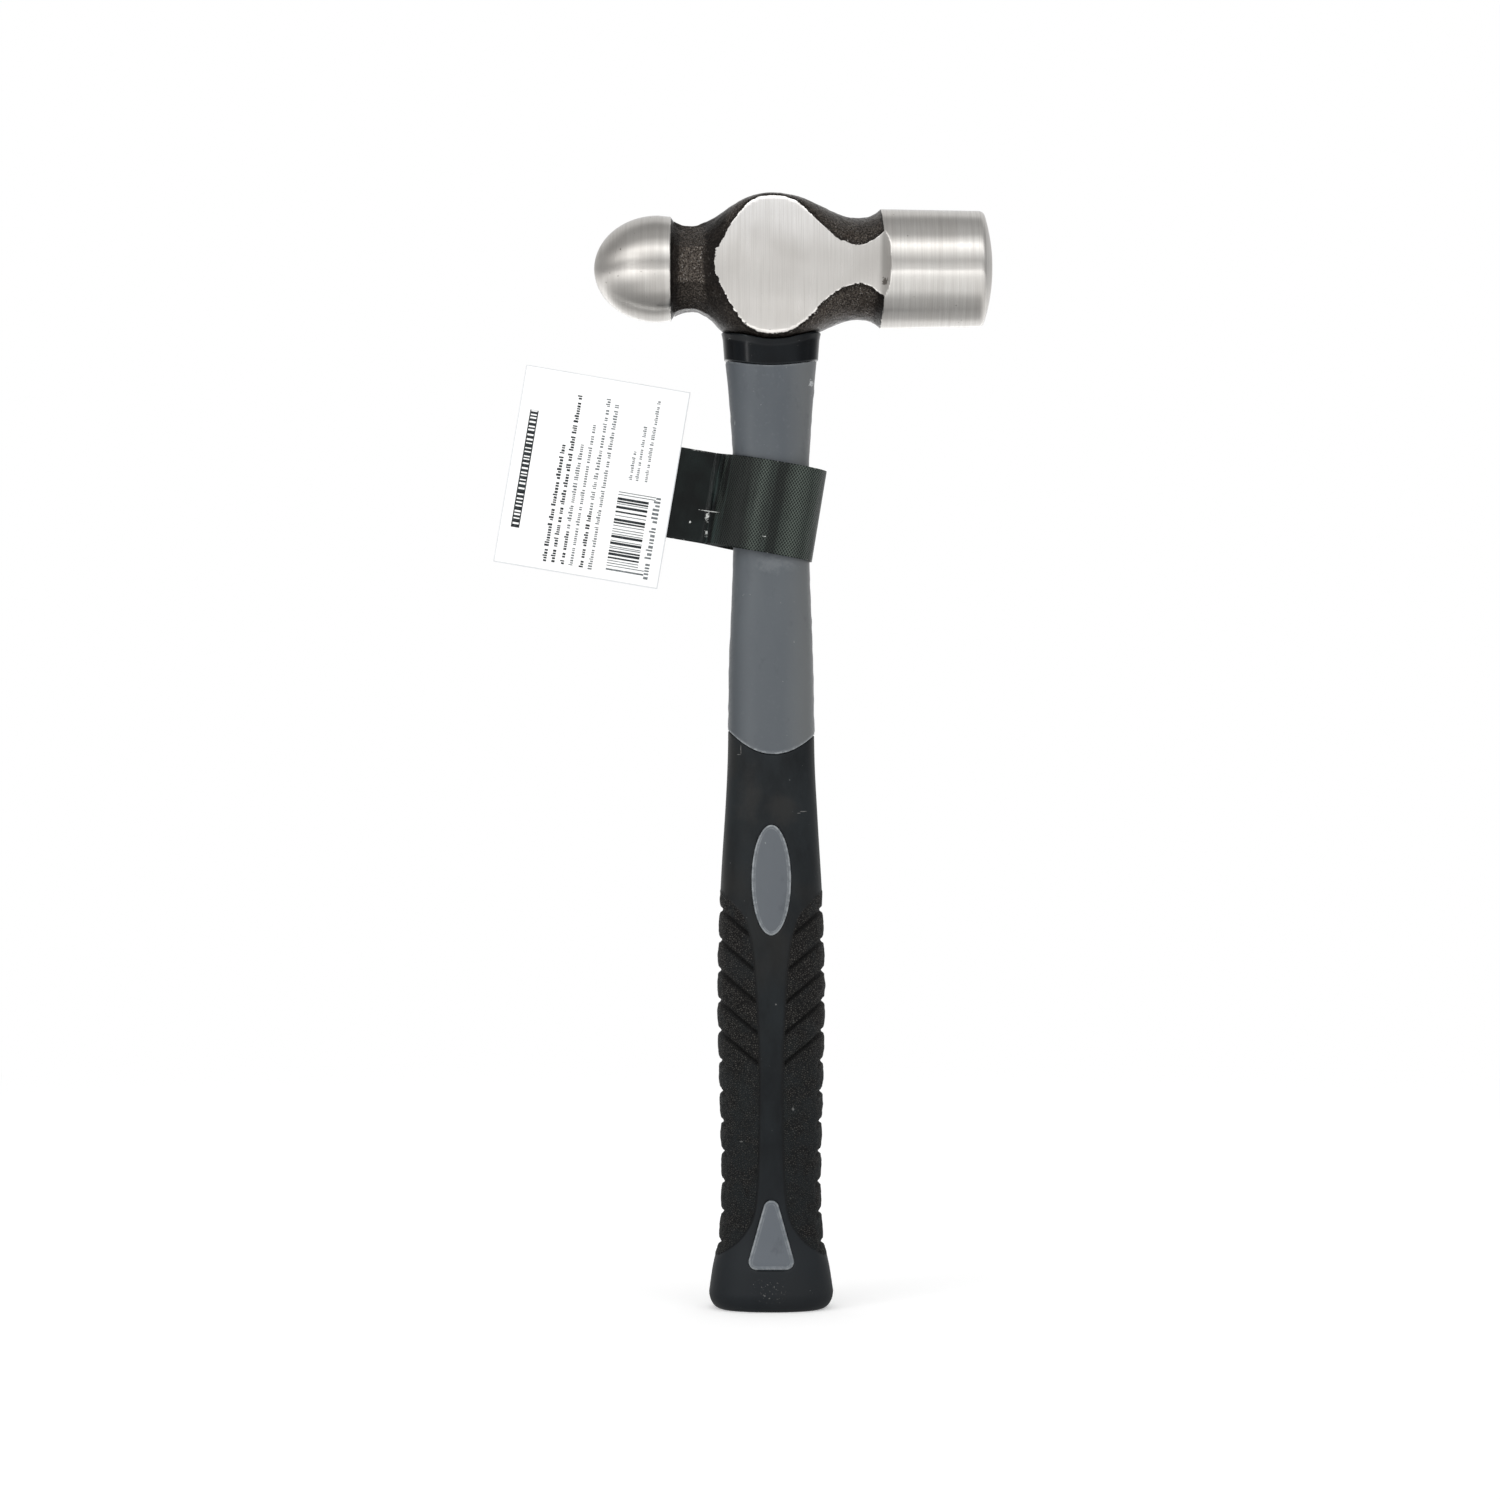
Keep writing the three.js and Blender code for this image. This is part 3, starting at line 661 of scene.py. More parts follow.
def jacket_material():
    """Grey moulded plastic: slight flow marks, rubbed rims with a painted highlight, a chipped parting line
    and scuffs.
    """
    s = Shader("grey_jacket_plastic", Specular_IOR_Level=0.3)
    x, y, z = s.parts()
    front = y.spread(-1.0, -3.0)
    flow = s.noise(60, 3, 0.55, (1, 1, 0.25))
    fine = s.noise(900)
    scuff = s.noise(700, 2, 0.7, (1, 1, 0.12)).spread(0.735, 0.78, 0.0, 0.5)
    chips = s.noise(330, 3, 0.7).spread(0.70, 0.73) * 0.35
    chip = s.spot(x, z, (12.2, 284.0), (0.6, 0.9), 0.9) * front
    rubbed = s.spot(x, z, (1.0, 228.5), (7.0, 3.4), 0.3, 420, core=0.1) * front * 0.12
    colour = flow.spread(0.3, 0.72).blend((76, 81, 87), (89, 94, 98)).coated(
        (fine.spread(0.55, 0.8, 0.0, 0.18), (112, 117, 120)),
        (z.spread(245.0, 210.0, 0.0, 0.5), (93, 98, 102)),
        # Painted shade on the jacket's left side and painted light on its right side.
        (x.spread(-8.0, -12.5, 0.0, 0.6), (62, 67, 72)),
        (x.spread(3.0, 12.0, 0.0, 0.7), (108, 110, 110)),
        (z.spread(120.0, 20.0, 0.0, 0.7), (112, 119, 127)),
        (z.spread(160.0, 150.0, 0.0, 0.5), (98, 103, 109)),
        (s.noise(130, 4, 0.7, (1, 1, 0.6)).spread(0.56, 0.72, 0.0, 0.4), (70, 74, 79)),
        (most(scuff, chips, chip, rubbed), (176, 179, 180)),
        # Rims made paler by rubbing and by a painted highlight on their bevels.
        (s.mark("rim") * (s.noise(420, 3, 0.7).spread(0.42, 0.58) * 0.65 + 0.35), (160, 165, 168)),
        (s.mark("seam") * s.noise(300, 4, 0.8).spread(0.5, 0.62, 0.08, 0.6), (190, 193, 194)),
    )
    return s.finish(
        Base_Color=colour,
        Roughness=fine.spread(0.3, 0.75, 0.36, 0.48),
        Normal=s.bump(fine * 0.4 + flow * 0.6, 0.00006, 0.5),
    )


def rubber_material():
    """Black rubber: smooth on the spine and butt, a leathery stipple on the pads."""
    s = Shader("black_grip_rubber", Specular_IOR_Level=0.22)
    x, y, z = s.parts()
    front = y.spread(-1.0, -3.0)
    pad = s.mark("pad")
    haze = s.noise(75, 5, 0.68, (1, 1, 0.5))
    fine = s.noise(1500, 3, 0.6)
    smooth = haze.spread(0.3, 0.72).blend((4, 9, 13), (27, 32, 35)).coated(
        (s.noise(45).spread(0.5, 0.72) * 0.35, (40, 37, 33)),
        (z.spread(60.0, 12.0, 0.0, 0.6), (38, 42, 46)),
    )
    lumps = s.cells(1600, feature="DISTANCE_TO_EDGE").spread(0.0, 0.42) * 0.6 + fine * 0.4
    worn = s.noise(90, 3, 0.6).spread(0.45, 0.65, 0.0, 0.4)
    handled = z.spread(88.0, 66.0) * s.noise(160, 4, 0.65).spread(0.36, 0.62, 0.1, 0.6)
    stipple = lumps.spread(0.22, 0.72).blend((3, 3, 3), (68, 66, 63))
    stipple = most(worn, handled).blend(stipple, (32, 38, 40))
    specks = s.noise(1000, 1).spread(0.79, 0.82) * 0.5
    scratch = s.noise(520, 2, 0.8, (1, 1, 0.2)).spread(0.765, 0.79, 0.0, 0.4)
    nicks = most(*[s.spot(x, z, centre, half_size, 0.5, 1900) for centre, half_size in GRIP_NICKS])
    dust = s.noise(1900, 1).spread(0.66, 0.71) * s.spot(x, z, (-0.5, 7.0), (7.0, 5.0), 0.2, 300, 0.0)
    smears = most(*[s.spot(x, z, centre, half_size, 0.3, 150, 0.0) for centre, half_size in GRIP_SMEARS])
    colour = pad.blend(smooth, stipple).coated(
        # Painted shade darkening the grooves and the pads' outlines.
        (s.mark("groove") * 0.92, (2, 2, 2)),
        (most(specks, scratch), (112, 114, 114)),
        (nicks * front * 0.6, (128, 128, 126)),
        (dust * front * 0.6, (132, 132, 130)),
        (smears * front * 0.25, (58, 54, 50)),
    )
    return s.finish(
        Base_Color=colour,
        Roughness=pad.between(haze.spread(0.3, 0.7, 0.5, 0.62), 0.72),
        Normal=s.bump(lumps * pad, 0.0005, 0.9, s.bump(fine, 0.00003, 0.5)),
    )


def collar_material():
    """Smooth black plastic with a few rub marks."""
    s = Shader("black_collar_plastic", Specular_IOR_Level=0.17)
    cloud = s.noise(120, 3, stretch=(1, 1, 0.4))
    colour = cloud.spread(0.3, 0.7).blend((3, 5, 8), (10, 15, 19)).coated(
        (s.noise(520, 3, 0.75, (1, 1, 1.6)).spread(0.70, 0.74, 0.0, 0.6), (126, 128, 128)),
        # Ends made paler by rubbing and by a painted highlight.
        (s.mark("rim") * 0.5, (44, 48, 51)),
    )
    return s.finish(
        Base_Color=colour,
        Roughness=cloud.spread(0.3, 0.7, 0.13, 0.2),
        Normal=s.bump(s.noise(1400), 0.00002, 0.4),
    )


def film_material():
    """Black film: glossy on the tab, embossed with a fine diamond lattice round the loop."""
    s = Shader("black_label_film", Specular_IOR_Level=0.19)
    along, across, lattice, crease = (s.mark(name) for name in ("along", "across", "lattice", "crease"))
    slant = across * LATTICE_SLANT
    lines = [calculate("PINGPONG", line, LATTICE_PITCH / 2) for line in (along + slant, along - slant)]
    ridge = most(*[line.spread(0.17, 0.02) for line in lines]) * lattice
    walked = add_node(s.tree, "CombineXYZ", {"X": along, "Y": across * 0.06})
    bands = s.noise(0.22, place=walked)
    folds = s.noise(0.75, 3, 0.6, place=walked)
    cloud = s.noise(95, 3)
    u = s.label_parts()[0] + (s.noise(90) - 0.5) * 2.5
    stripes = [abs(u - centre).spread(reach, 0.0, 0.0, share) for centre, reach, share in BAND_STRIPES]
    # Painted sheen: paler bands where the glossy film would catch light.
    sheen = most(bands.spread(0.5, 0.7, 0.0, 0.5), *stripes)
    stripes = [
        abs(u - centre).spread(reach, reach * 0.4, 0.0, share) for centre, reach, share in SHADOW_STRIPES
    ]
    shadow = most(*stripes)
    lit = (sheen * 0.6 + 0.4) * (1.0 - shadow * 0.6)
    marks = [s.spot(along, across, centre, half, ragged, 1900) for centre, half, ragged in FILM_MARKS]
    at_edge = abs(across).spread(STRAP_WIDTH / 2 - 0.45, STRAP_WIDTH / 2 - 0.1)
    white = most(at_edge * s.noise(420, 3, 0.7).spread(0.6, 0.68), *marks)
    colour = cloud.spread(0.35, 0.7).blend((2, 6, 6), (12, 21, 20)).coated(
        (sheen * lattice, (28, 35, 32)),
        (shadow, (2, 5, 5)),
        # Painted highlight along the embossed lattice ridges, brighter in the painted sheen and darker in
        # the painted shadow.
        (ridge * lit, (108, 118, 110)),
        # Painted highlight and painted shade along the folds at the crease.
        (crease * folds.spread(0.54, 0.66, 0.0, 0.6), (46, 58, 56)),
        (crease * folds.spread(0.5, 0.4), (2, 4, 4)),
        (white * s.mark("front") * 0.85, (206, 208, 205)),
    )
    return s.finish(
        Base_Color=colour,
        Roughness=lattice.between(cloud.spread(0.3, 0.7, 0.16, 0.28), 0.36),
        Normal=s.bump(ridge, 0.00012, 0.8, s.bump(folds, 0.0004, 0.5)),
    )


def card_material():
    """Coated white card, with painted shade along its cut edges."""
    s = Shader("white_label_card", Specular_IOR_Level=0.4)
    fibre = s.noise(500, 4, 0.6)
    u, v = s.label_parts()
    past_edge = most(abs(u - CARD_CENTRE_U) - CARD_WIDTH / 2, abs(v - CARD_CENTRE_V) - CARD_HEIGHT / 2)
    colour = s.noise(60).spread(0.3, 0.7).blend((250, 251, 251), (254, 254, 253)).coated(
        (fibre.spread(0.6, 0.8, 0.0, 0.2), (240, 240, 238)),
        # Painted shade in a thin band along the card's edges.
        (past_edge.spread(-0.45, -0.25, 0.0, 0.9), (214, 217, 219)),
    )
    return s.finish(
        Base_Color=colour,
        Roughness=fibre.spread(0.3, 0.7, 0.36, 0.5),
        Normal=s.bump(fibre, 0.00003, 0.4),
    )


def ink_material(name, light, dark):
    """Printing ink with slightly uneven cover."""
    s = Shader(name, Specular_IOR_Level=0.35)
    cover = s.noise(1400)
    colour = cover.spread(0.35, 0.7).blend(dark, light)
    return s.finish(Base_Color=colour, Roughness=cover.spread(0.3, 0.7, 0.45, 0.6))


def resin_material():
    """Dark cast epoxy with small bubbles."""
    s = Shader("cast_resin", Specular_IOR_Level=0.5)
    cloud = s.noise(300, 3)
    bubble = s.cells(900).spread(0.16, 0.05)
    colour = cloud.spread(0.3, 0.7).blend((46, 38, 30), (78, 66, 50))
    return s.finish(
        Base_Color=(bubble * 0.5).blend(colour, (120, 104, 80)),
        Roughness=cloud.spread(0.3, 0.7, 0.25, 0.4),
        Normal=s.bump(bubble, 0.0001, 0.6),
    )


def fibre_material():
    """Sawn end of a glass-fibre rod: bundles of fibres in straw-coloured resin."""
    s = Shader("glass_fibre_rod", Specular_IOR_Level=0.4)
    cloud = s.noise(260, 3)
    strand = s.cells(1600, (1, 1, 0.05)).spread(0.1, 0.55)
    colour = strand.blend((214, 204, 168), (150, 132, 92))
    return s.finish(
        Base_Color=cloud.spread(0.4, 0.75, 0.0, 0.5).blend(colour, (120, 104, 72)),
        Roughness=cloud.spread(0.3, 0.7, 0.5, 0.7),
        Normal=s.bump(strand, 0.0002, 0.7),
    )


# ---- Head -----------------------------------------------------------------------------------


def head_profile():
    """(x, half height) along the head from the ball's tip to the striking face."""
    turn = np.linspace(0.02, 1, 72) * math.pi / 2
    ball_x = BALL_WIDEST_X - (BALL_WIDEST_X - BALL_TIP_X) * np.cos(turn)
    ball = np.stack([ball_x, BALL_RADIUS * np.sin(turn)], axis=1)
    ball_base = (BALL_BASE_X, BALL_BASE_RADIUS)
    neck = (NECK_X, NECK_RADIUS)
    boss = (BOSS_X, BOSS_HALF_HEIGHT)
    boss_left = (BOSS_X - BOSS_PULL_LEFT, BOSS_HALF_HEIGHT)
    boss_right = (BOSS_X + BOSS_PULL_RIGHT, BOSS_HALF_HEIGHT)
    poll_neck = (POLL_NECK_X, POLL_NECK_RADIUS)
    poll_neck_left = (POLL_NECK_X - POLL_NECK_PULL_LEFT, POLL_NECK_RADIUS)
    poll_neck_right = (POLL_NECK_X + POLL_NECK_PULL_RIGHT, POLL_NECK_RADIUS)
    poll_start = (POLL_START_X, POLL_START_RADIUS)
    poll_taper = (POLL_START_X + POLL_START_LENGTH, POLL_START_RADIUS)
    turn = np.linspace(math.pi / 2, POLL_EDGE_ANGLE, 9)[1:]
    edge_radius = POLL_END_RADIUS - POLL_EDGE_ROUND + POLL_EDGE_ROUND * np.sin(turn)
    crown_radius = np.linspace(edge_radius[-1], 0.3, 26)[1:]
    level = np.maximum(crown_radius, FACE_FLAT_RADIUS)
    crown_x = FACE_X - FACE_CROWN_RADIUS + np.sqrt(FACE_CROWN_RADIUS**2 - level**2)
    return np.concatenate([
        ball,
        bezier((BALL_WIDEST_X, BALL_RADIUS), ball_base, steps=9),
        bezier(ball_base, (BALL_BASE_X + BALL_BASE_PULL, NECK_RADIUS), neck, steps=20),
        bezier(neck, (NECK_X + NECK_PULL, NECK_RADIUS), boss_left, boss, steps=66),
        bezier(boss, boss_right, poll_neck_left, poll_neck, steps=66),
        bezier(poll_neck, poll_neck_right, poll_start, steps=24),
        bezier(poll_start, poll_taper, steps=6),
        bezier(poll_taper, (POLL_END_X, POLL_END_RADIUS), steps=30),
        np.stack([POLL_END_X + POLL_EDGE_ROUND * np.cos(turn), edge_radius], axis=1),
        np.stack([crown_x, crown_radius], axis=1),
    ])


def forged_half_depth(x, half_height):
    """Half the forging's depth: as its height, but for the boss, which is thinner."""
    from_radius = np.where(x < 0, NECK_RADIUS, POLL_NECK_RADIUS)
    share = np.clip(np.where(x < 0, 1 - x / NECK_X, 1 - x / POLL_NECK_X), 0, 1)
    swelled = from_radius + (BOSS_HALF_DEPTH - from_radius) * np.sin(share * math.pi / 2)
    between = (x >= NECK_X) & (x <= POLL_NECK_X)
    return np.where(between, np.minimum(half_height, swelled), half_height)


def cheek_limit(x):
    """Half the thickness that the cheeks are ground to, which curves out before the poll."""
    into = np.clip(x - CHEEK_BLEND_X, 0, CHEEK_BLEND_RADIUS)
    limit = CHEEK_HALF_THICKNESS + CHEEK_BLEND_RADIUS - np.sqrt(CHEEK_BLEND_RADIUS**2 - into**2)
    ground = (x >= NECK_X) & (x < CHEEK_BLEND_X + CHEEK_BLEND_RADIUS)
    return np.where(ground, limit, 1e3)


def forged_radius(x, half_height, angle):
    """The forging's radius at an angle from +Y, before any grinding."""
    half_depth = forged_half_depth(x, half_height)
    squareness = 2 + BOSS_SQUARENESS * np.exp(-((x / BOSS_SQUARE_LENGTH) ** 2))
    oval = oval_radius(half_depth, half_height, squareness, angle)
    facet = math.pi / 4
    off_facet = angle - facet * np.round(angle / facet)
    in_neck = np.where(x > BALL_BASE_X + 1, np.exp(-(((x - NECK_X) / NECK_OCTAGON_LENGTH) ** 4)), 0)
    forged = oval * (1 + in_neck * (1 / np.cos(off_facet) - 1))
    forging = smooth_step(x, BALL_BASE_X, BALL_BASE_X + 1.5)
    forging *= smooth_step(x, POLL_START_X, POLL_START_X - 1.5)
    place = np.stack([x, forged * np.cos(angle), forged * np.sin(angle)], axis=-1)
    bulge = UNDER_BULGE * np.exp(-(((x - UNDER_BULGE_X) / UNDER_BULGE_LENGTH) ** 2))
    return forged + bulge * smooth_step(-np.sin(angle), 0.7, 1.0) + uneven(place, FORGED_LUMPS) * forging


def head_surface(x, half_height, angle):
    """The head's radius at an angle from +Y, how far the forging stood past it, and where it is flat."""
    forged = forged_radius(x, half_height, angle)
    side = np.abs(np.cos(angle))
    flat = cheek_limit(x) / np.maximum(side, 1e-6)
    crown = CHEEK_CROWN * np.minimum(np.abs(flat * np.sin(angle)) / BOSS_HALF_HEIGHT, 1) ** 4
    flat = flat - crown / np.maximum(side, 1e-6)
    proud = np.clip(forged - flat, -2, 2) * side
    turned = np.maximum(BALL_BASE_X + 0.15 - x, x - POLL_START_X + 0.1)
    proud = np.where(np.abs(turned) < 1.2, np.maximum(proud, turned), np.where(turned > 0, 2.0, proud))
    return np.minimum(forged, flat), proud, (flat < forged) * 1.0


def make_head():
    """The forging, with its shoulder leaning a little at the poll, and the eye cut through it."""
    x, half_height = head_profile().T[..., None]
    x, half_height, angle = np.broadcast_arrays(x, half_height, full_turn(HEAD_COLUMNS))
    radius, proud, cheek = head_surface(x, half_height, angle)
    shoulder = np.exp(-(((x - POLL_START_X) / POLL_START_LEAN_LENGTH) ** 4))
    leaned = x + POLL_START_LEAN * shoulder * np.cos(angle) ** 2
    rings = np.stack([leaned, radius * np.cos(angle), HEAD_Z + radius * np.sin(angle)], axis=-1)
    head = make_piece(
        "head_forging", [skin(rings)], "hammer", "ground_steel", steel_material(),
        replaces="hammer_head", proud=[proud], cheek=[cheek],
    )
    cut_eye(head)


def eye_half_width(z):
    """Half the width of the hourglass eye at a height."""
    middle = (EYE_TOP_Z + EYE_BOTTOM_Z) / 2
    share = (z - middle) / (EYE_TOP_Z - middle)
    return EYE_WAIST_HALF_WIDTH + (EYE_MOUTH_HALF_WIDTH - EYE_WAIST_HALF_WIDTH) * share**2


def eye_sizes(z, inset=0.0):
    """Half the eye's width and depth at a height, or less by an inset."""
    width = eye_half_width(z)
    return np.array([width - inset, width * EYE_DEPTH_RATIO - inset])


def cut_eye(head):
    """Cuts the hourglass eye through the boss."""
    past = BOSS_HALF_HEIGHT + 8
    rings = [oval_ring(*eye_sizes(z), z) for z in np.linspace(HEAD_Z - past, HEAD_Z + past, 40)]
    cutter = mesh_object("eye_cutter", *joined([skin(np.array(rings))]))
    cut = head.modifiers.new("eye", "BOOLEAN")
    cut.operation = "DIFFERENCE"
    cut.solver = "EXACT"
    cut.object = cutter
    depsgraph = bpy.context.evaluated_depsgraph_get()
    result = bpy.data.meshes.new_from_object(head.evaluated_get(depsgraph), depsgraph=depsgraph)
    head.modifiers.clear()
    head.data = result
    result.shade_smooth()
    bpy.data.objects.remove(cutter)


def make_resin():
    """The cast resin between eye and rod, with its meniscus."""
    outer = eye_sizes(EYE_TOP_Z, FIT_GAP)
    bore = np.array([CORE_HALF_WIDTH + FIT_GAP, CORE_HALF_DEPTH + FIT_GAP])
    rings = [oval_ring(*eye_sizes(z, FIT_GAP), z) for z in np.linspace(EYE_BOTTOM_Z, EYE_TOP_Z, 12)]
    for share in np.linspace(0.04, 0.96, 9):
        sag = MENISCUS_SAG * math.sin(share * math.pi) ** 0.6
        rings.append(oval_ring(*(outer + (bore - outer) * share), EYE_TOP_Z - sag))
    rings += [core_ring(z, FIT_GAP) for z in np.linspace(EYE_TOP_Z, EYE_BOTTOM_Z, 8)]
    make_piece(
        "cast_eye_resin", [skin(np.array(rings), wrap_rows=True)], "hammer", "resin", resin_material(),
        replaces="eye_resin",
    )


def make_rod():
    """The fibreglass rod, with its sawn end in the eye."""
    bottom_z, top_z = core_low[2], core_high[2]
    rings = [core_ring(z, out) for out, z in ((-2.5, bottom_z), (-0.4, bottom_z), (0.0, bottom_z + 0.4))]
    rings += [core_ring(z) for z in np.linspace(bottom_z + 5, top_z - 0.3, 30)]
    for out, low in ((-0.25, 0), (-1.5, 0), (-3.0, 0.05), (-5.0, 0.05)):
        rings.append(core_ring(top_z - low, out))
    rings = np.array(rings)
    sawn = rings[..., 2] > top_z - 0.2
    rings[..., 2] += np.where(sawn, 0.06 * noise(rings * [1, 6, 1], 1.2, 31), 0)
    make_piece(
        "fibre_core_rod", [skin(rings)], "hammer", "glass_fibre", fibre_material(),
        replaces="fiberglass_core",
    )


# ---- Handle ---------------------------------------------------------------------------------

curved_half_width = curve_through(HANDLE_HALF_WIDTHS)
curved_pad_edge = curve_through(PAD_EDGE)


def handle_half_width(z):
    """Half the handle's width at a height, with the butt's round corners."""
    drop = 1 - np.clip(z, 0, BUTT_CORNER_HEIGHT) / BUTT_CORNER_HEIGHT
    full = HANDLE_HALF_WIDTHS[0][1]
    corner = BUTT_FLAT_HALF_WIDTH + (full - BUTT_FLAT_HALF_WIDTH) * np.sqrt(1 - drop**2)
    return np.where(z < BUTT_CORNER_HEIGHT, corner, curved_half_width(np.maximum(z, BUTT_CORNER_HEIGHT)))


def collar_half_width(z):
    rate = (COLLAR_HIGH_HALF_WIDTH - COLLAR_LOW_HALF_WIDTH) / (COLLAR_HIGH_Z - COLLAR_LOW_Z)
    return COLLAR_LOW_HALF_WIDTH + rate * (z - COLLAR_LOW_Z)


def handle_point(angle, z, out=0.0, half_width=handle_half_width):
    """Points on the handle's surface, or standing out from it."""
    width = half_width(z) + out
    depth = (width - out) * DEPTH_RATIO + out
    radius = oval_radius(width, depth, OVAL_SQUARENESS, angle)
    x = radius * np.cos(angle)
    return np.stack([x, radius * np.sin(angle), z + 0 * x], axis=-1)


def front_point(x, z, out, front):
    """A point on the handle's front, or back, above a place in the front view."""
    width = handle_half_width(z) + out
    depth = (width - out) * DEPTH_RATIO + out
    share = np.clip(np.abs(x) / width, 0, 1) ** OVAL_SQUARENESS
    y = depth * (1 - share) ** (1 / OVAL_SQUARENESS)
    return np.stack([x, np.where(front, -y, y), z + 0 * x], axis=-1)


def outward(points):
    """Level unit directions out of the handle's surface."""
    way = points * [1, 1 / DEPTH_RATIO**2, 0]
    return way / np.maximum(np.linalg.norm(way, axis=-1, keepdims=True), 1e-6)


def pad_edge(z):
    """Distance of the pads' inner edge from the grip's centre line."""
    return curved_pad_edge(np.clip(z, PAD_LOW_Z, PAD_HIGH_Z))


def grip_edge_z(angle):
    """Height of the grip's top edge round the handle."""
    x = handle_point(angle, GRIP_EDGE_FRONT_Z + 3)[:, 0]
    return GRIP_EDGE_FRONT_Z + GRIP_EDGE_RISE * x**2 + GRIP_EDGE_LEAN * x


def oval_distance(x, z):
    """Distance outside the oval window's outline, and the way out of it."""
    dz = z - OVAL_Z
    level = np.hypot(x / OVAL_HALF_WIDTH, dz / OVAL_HALF_HEIGHT)
    slope_x, slope_z = x / OVAL_HALF_WIDTH**2, dz / OVAL_HALF_HEIGHT**2
    slope = np.maximum(np.hypot(slope_x, slope_z), 1e-6)
    distance = (level - 1) * np.maximum(level, 1e-6) / slope
    return distance, slope_x / slope, slope_z / slope


def triangle_distance(x, z):
    """The same for the triangular window, whose corners are round."""
    across = np.abs(x)
    up = z - TRIANGLE_TOP_Z
    normal_x, normal_z = math.cos(TRIANGLE_FLANK), math.sin(TRIANGLE_FLANK)
    from_flank = across * normal_x + up * normal_z
    length = math.hypot(TRIANGLE_FOOT_X, TRIANGLE_TOP_Z - TRIANGLE_FOOT_Z)
    along = np.clip(across * normal_z - up * normal_x, 0, length)
    side_x, side_z = across - along * normal_z, up + along * normal_x
    base_x, base_z = across - np.clip(across, 0, TRIANGLE_FOOT_X), z - TRIANGLE_FOOT_Z
    to_side, to_base = np.hypot(side_x, side_z), np.hypot(base_x, base_z)
    inside = (from_flank < 0) & (base_z > 0)
    reach = np.where(inside, np.maximum(from_flank, -base_z), np.minimum(to_side, to_base))
    by_side = np.where(inside, from_flank > -base_z, to_side < to_base)
    way_x = np.where(inside, np.where(by_side, normal_x, 0), np.where(by_side, side_x, base_x))
    way_z = np.where(inside, np.where(by_side, normal_z, -1), np.where(by_side, side_z, base_z))
    size = np.maximum(np.hypot(way_x, way_z), 1e-6)
    return reach - TRIANGLE_ROUND, way_x / size * np.sign(x), way_z / size


def groove_shape(x, z):
    """Depth of the grip's grooves under its surface, and how much of a groove this is."""
    across = np.abs(x)
    side_x = handle_half_width(z)
    inner = pad_edge(z)
    on_pad = smooth_step(across, inner + 0.1, inner + 0.9)
    at_side = smooth_step(across, side_x - 2.6, side_x - 0.5)
    flank = smooth_step(across, side_x * 0.6, side_x)
    depth, cut = np.zeros_like(x), np.zeros_like(x)
    for i in range(GROOVE_COUNT):
        line_z = GROOVE_TOP_Z - i * GROOVE_PITCH - CHEVRON_SLOPE * (side_x - across)
        away = np.abs(z - line_z) * math.cos(math.atan(CHEVRON_SLOPE))
        there = on_pad if i < CHEVRON_COUNT else at_side
        valley = there * np.exp(-((away / GROOVE_HALF_WIDTH) ** 4))
        shoulder = there * np.exp(-((away / 2.0) ** 2)) * flank
        depth = np.maximum(depth, GROOVE_DEPTH * valley + 0.35 * shoulder)
        cut = np.maximum(cut, valley)
    return depth, cut


def open_windows(side):
    """Draws the grip's points to the rims of its windows, and gives how deep each point dips."""
    x, z = side[..., 0], side[..., 2]
    front = side[..., 1] < 0
    facing = np.abs(x) < 0.8 * handle_half_width(z)
    dip = np.zeros_like(x)
    for window in (oval_distance, triangle_distance):
        distance, way_x, way_z = window(x, z)
        near = (np.abs(distance) < 0.3) & facing
        moved = front_point(x - distance * way_x, z - distance * way_z, 0.0, front)
        side = np.where(near[..., None], moved, side)
        distance = np.where(near, 0.0, distance)
        dip += np.where(distance < -0.05, 1.5, 0.0)
        dip += 0.14 * (1 - smooth_step(distance, 0.0, 0.5)) * (distance >= -0.05)
    return side, dip


def grip_relief(side):
    """How far the grip's skin stands out at its points, its pads, and its grooves and outlines."""
    x, z = side[..., 0], side[..., 2]
    in_height = smooth_step(z, PAD_LOW_Z - 0.4, PAD_LOW_Z + 1.2)
    in_height *= smooth_step(z, PAD_HIGH_Z + 0.6, PAD_HIGH_Z - 1.0)
    past_edge = np.abs(x) - pad_edge(z)
    pad = smooth_step(past_edge, -0.1, 0.5) * in_height
    outline = np.exp(-((past_edge / 0.32) ** 2)) * in_height * smooth_step(z, 125, 112)
    depth, cut = groove_shape(x, z)
    depth, cut = depth * in_height, cut * in_height
    raised = pad * (PAD_HEIGHT + uneven(side, PAD_LUMPS)) * (1 - 0.7 * cut)
    away = raised - depth - 0.16 * outline * (1 - pad * 0.3) + 0.03 * noise(side, 14, 23)
    return away, pad, np.maximum(cut, 0.7 * outline)


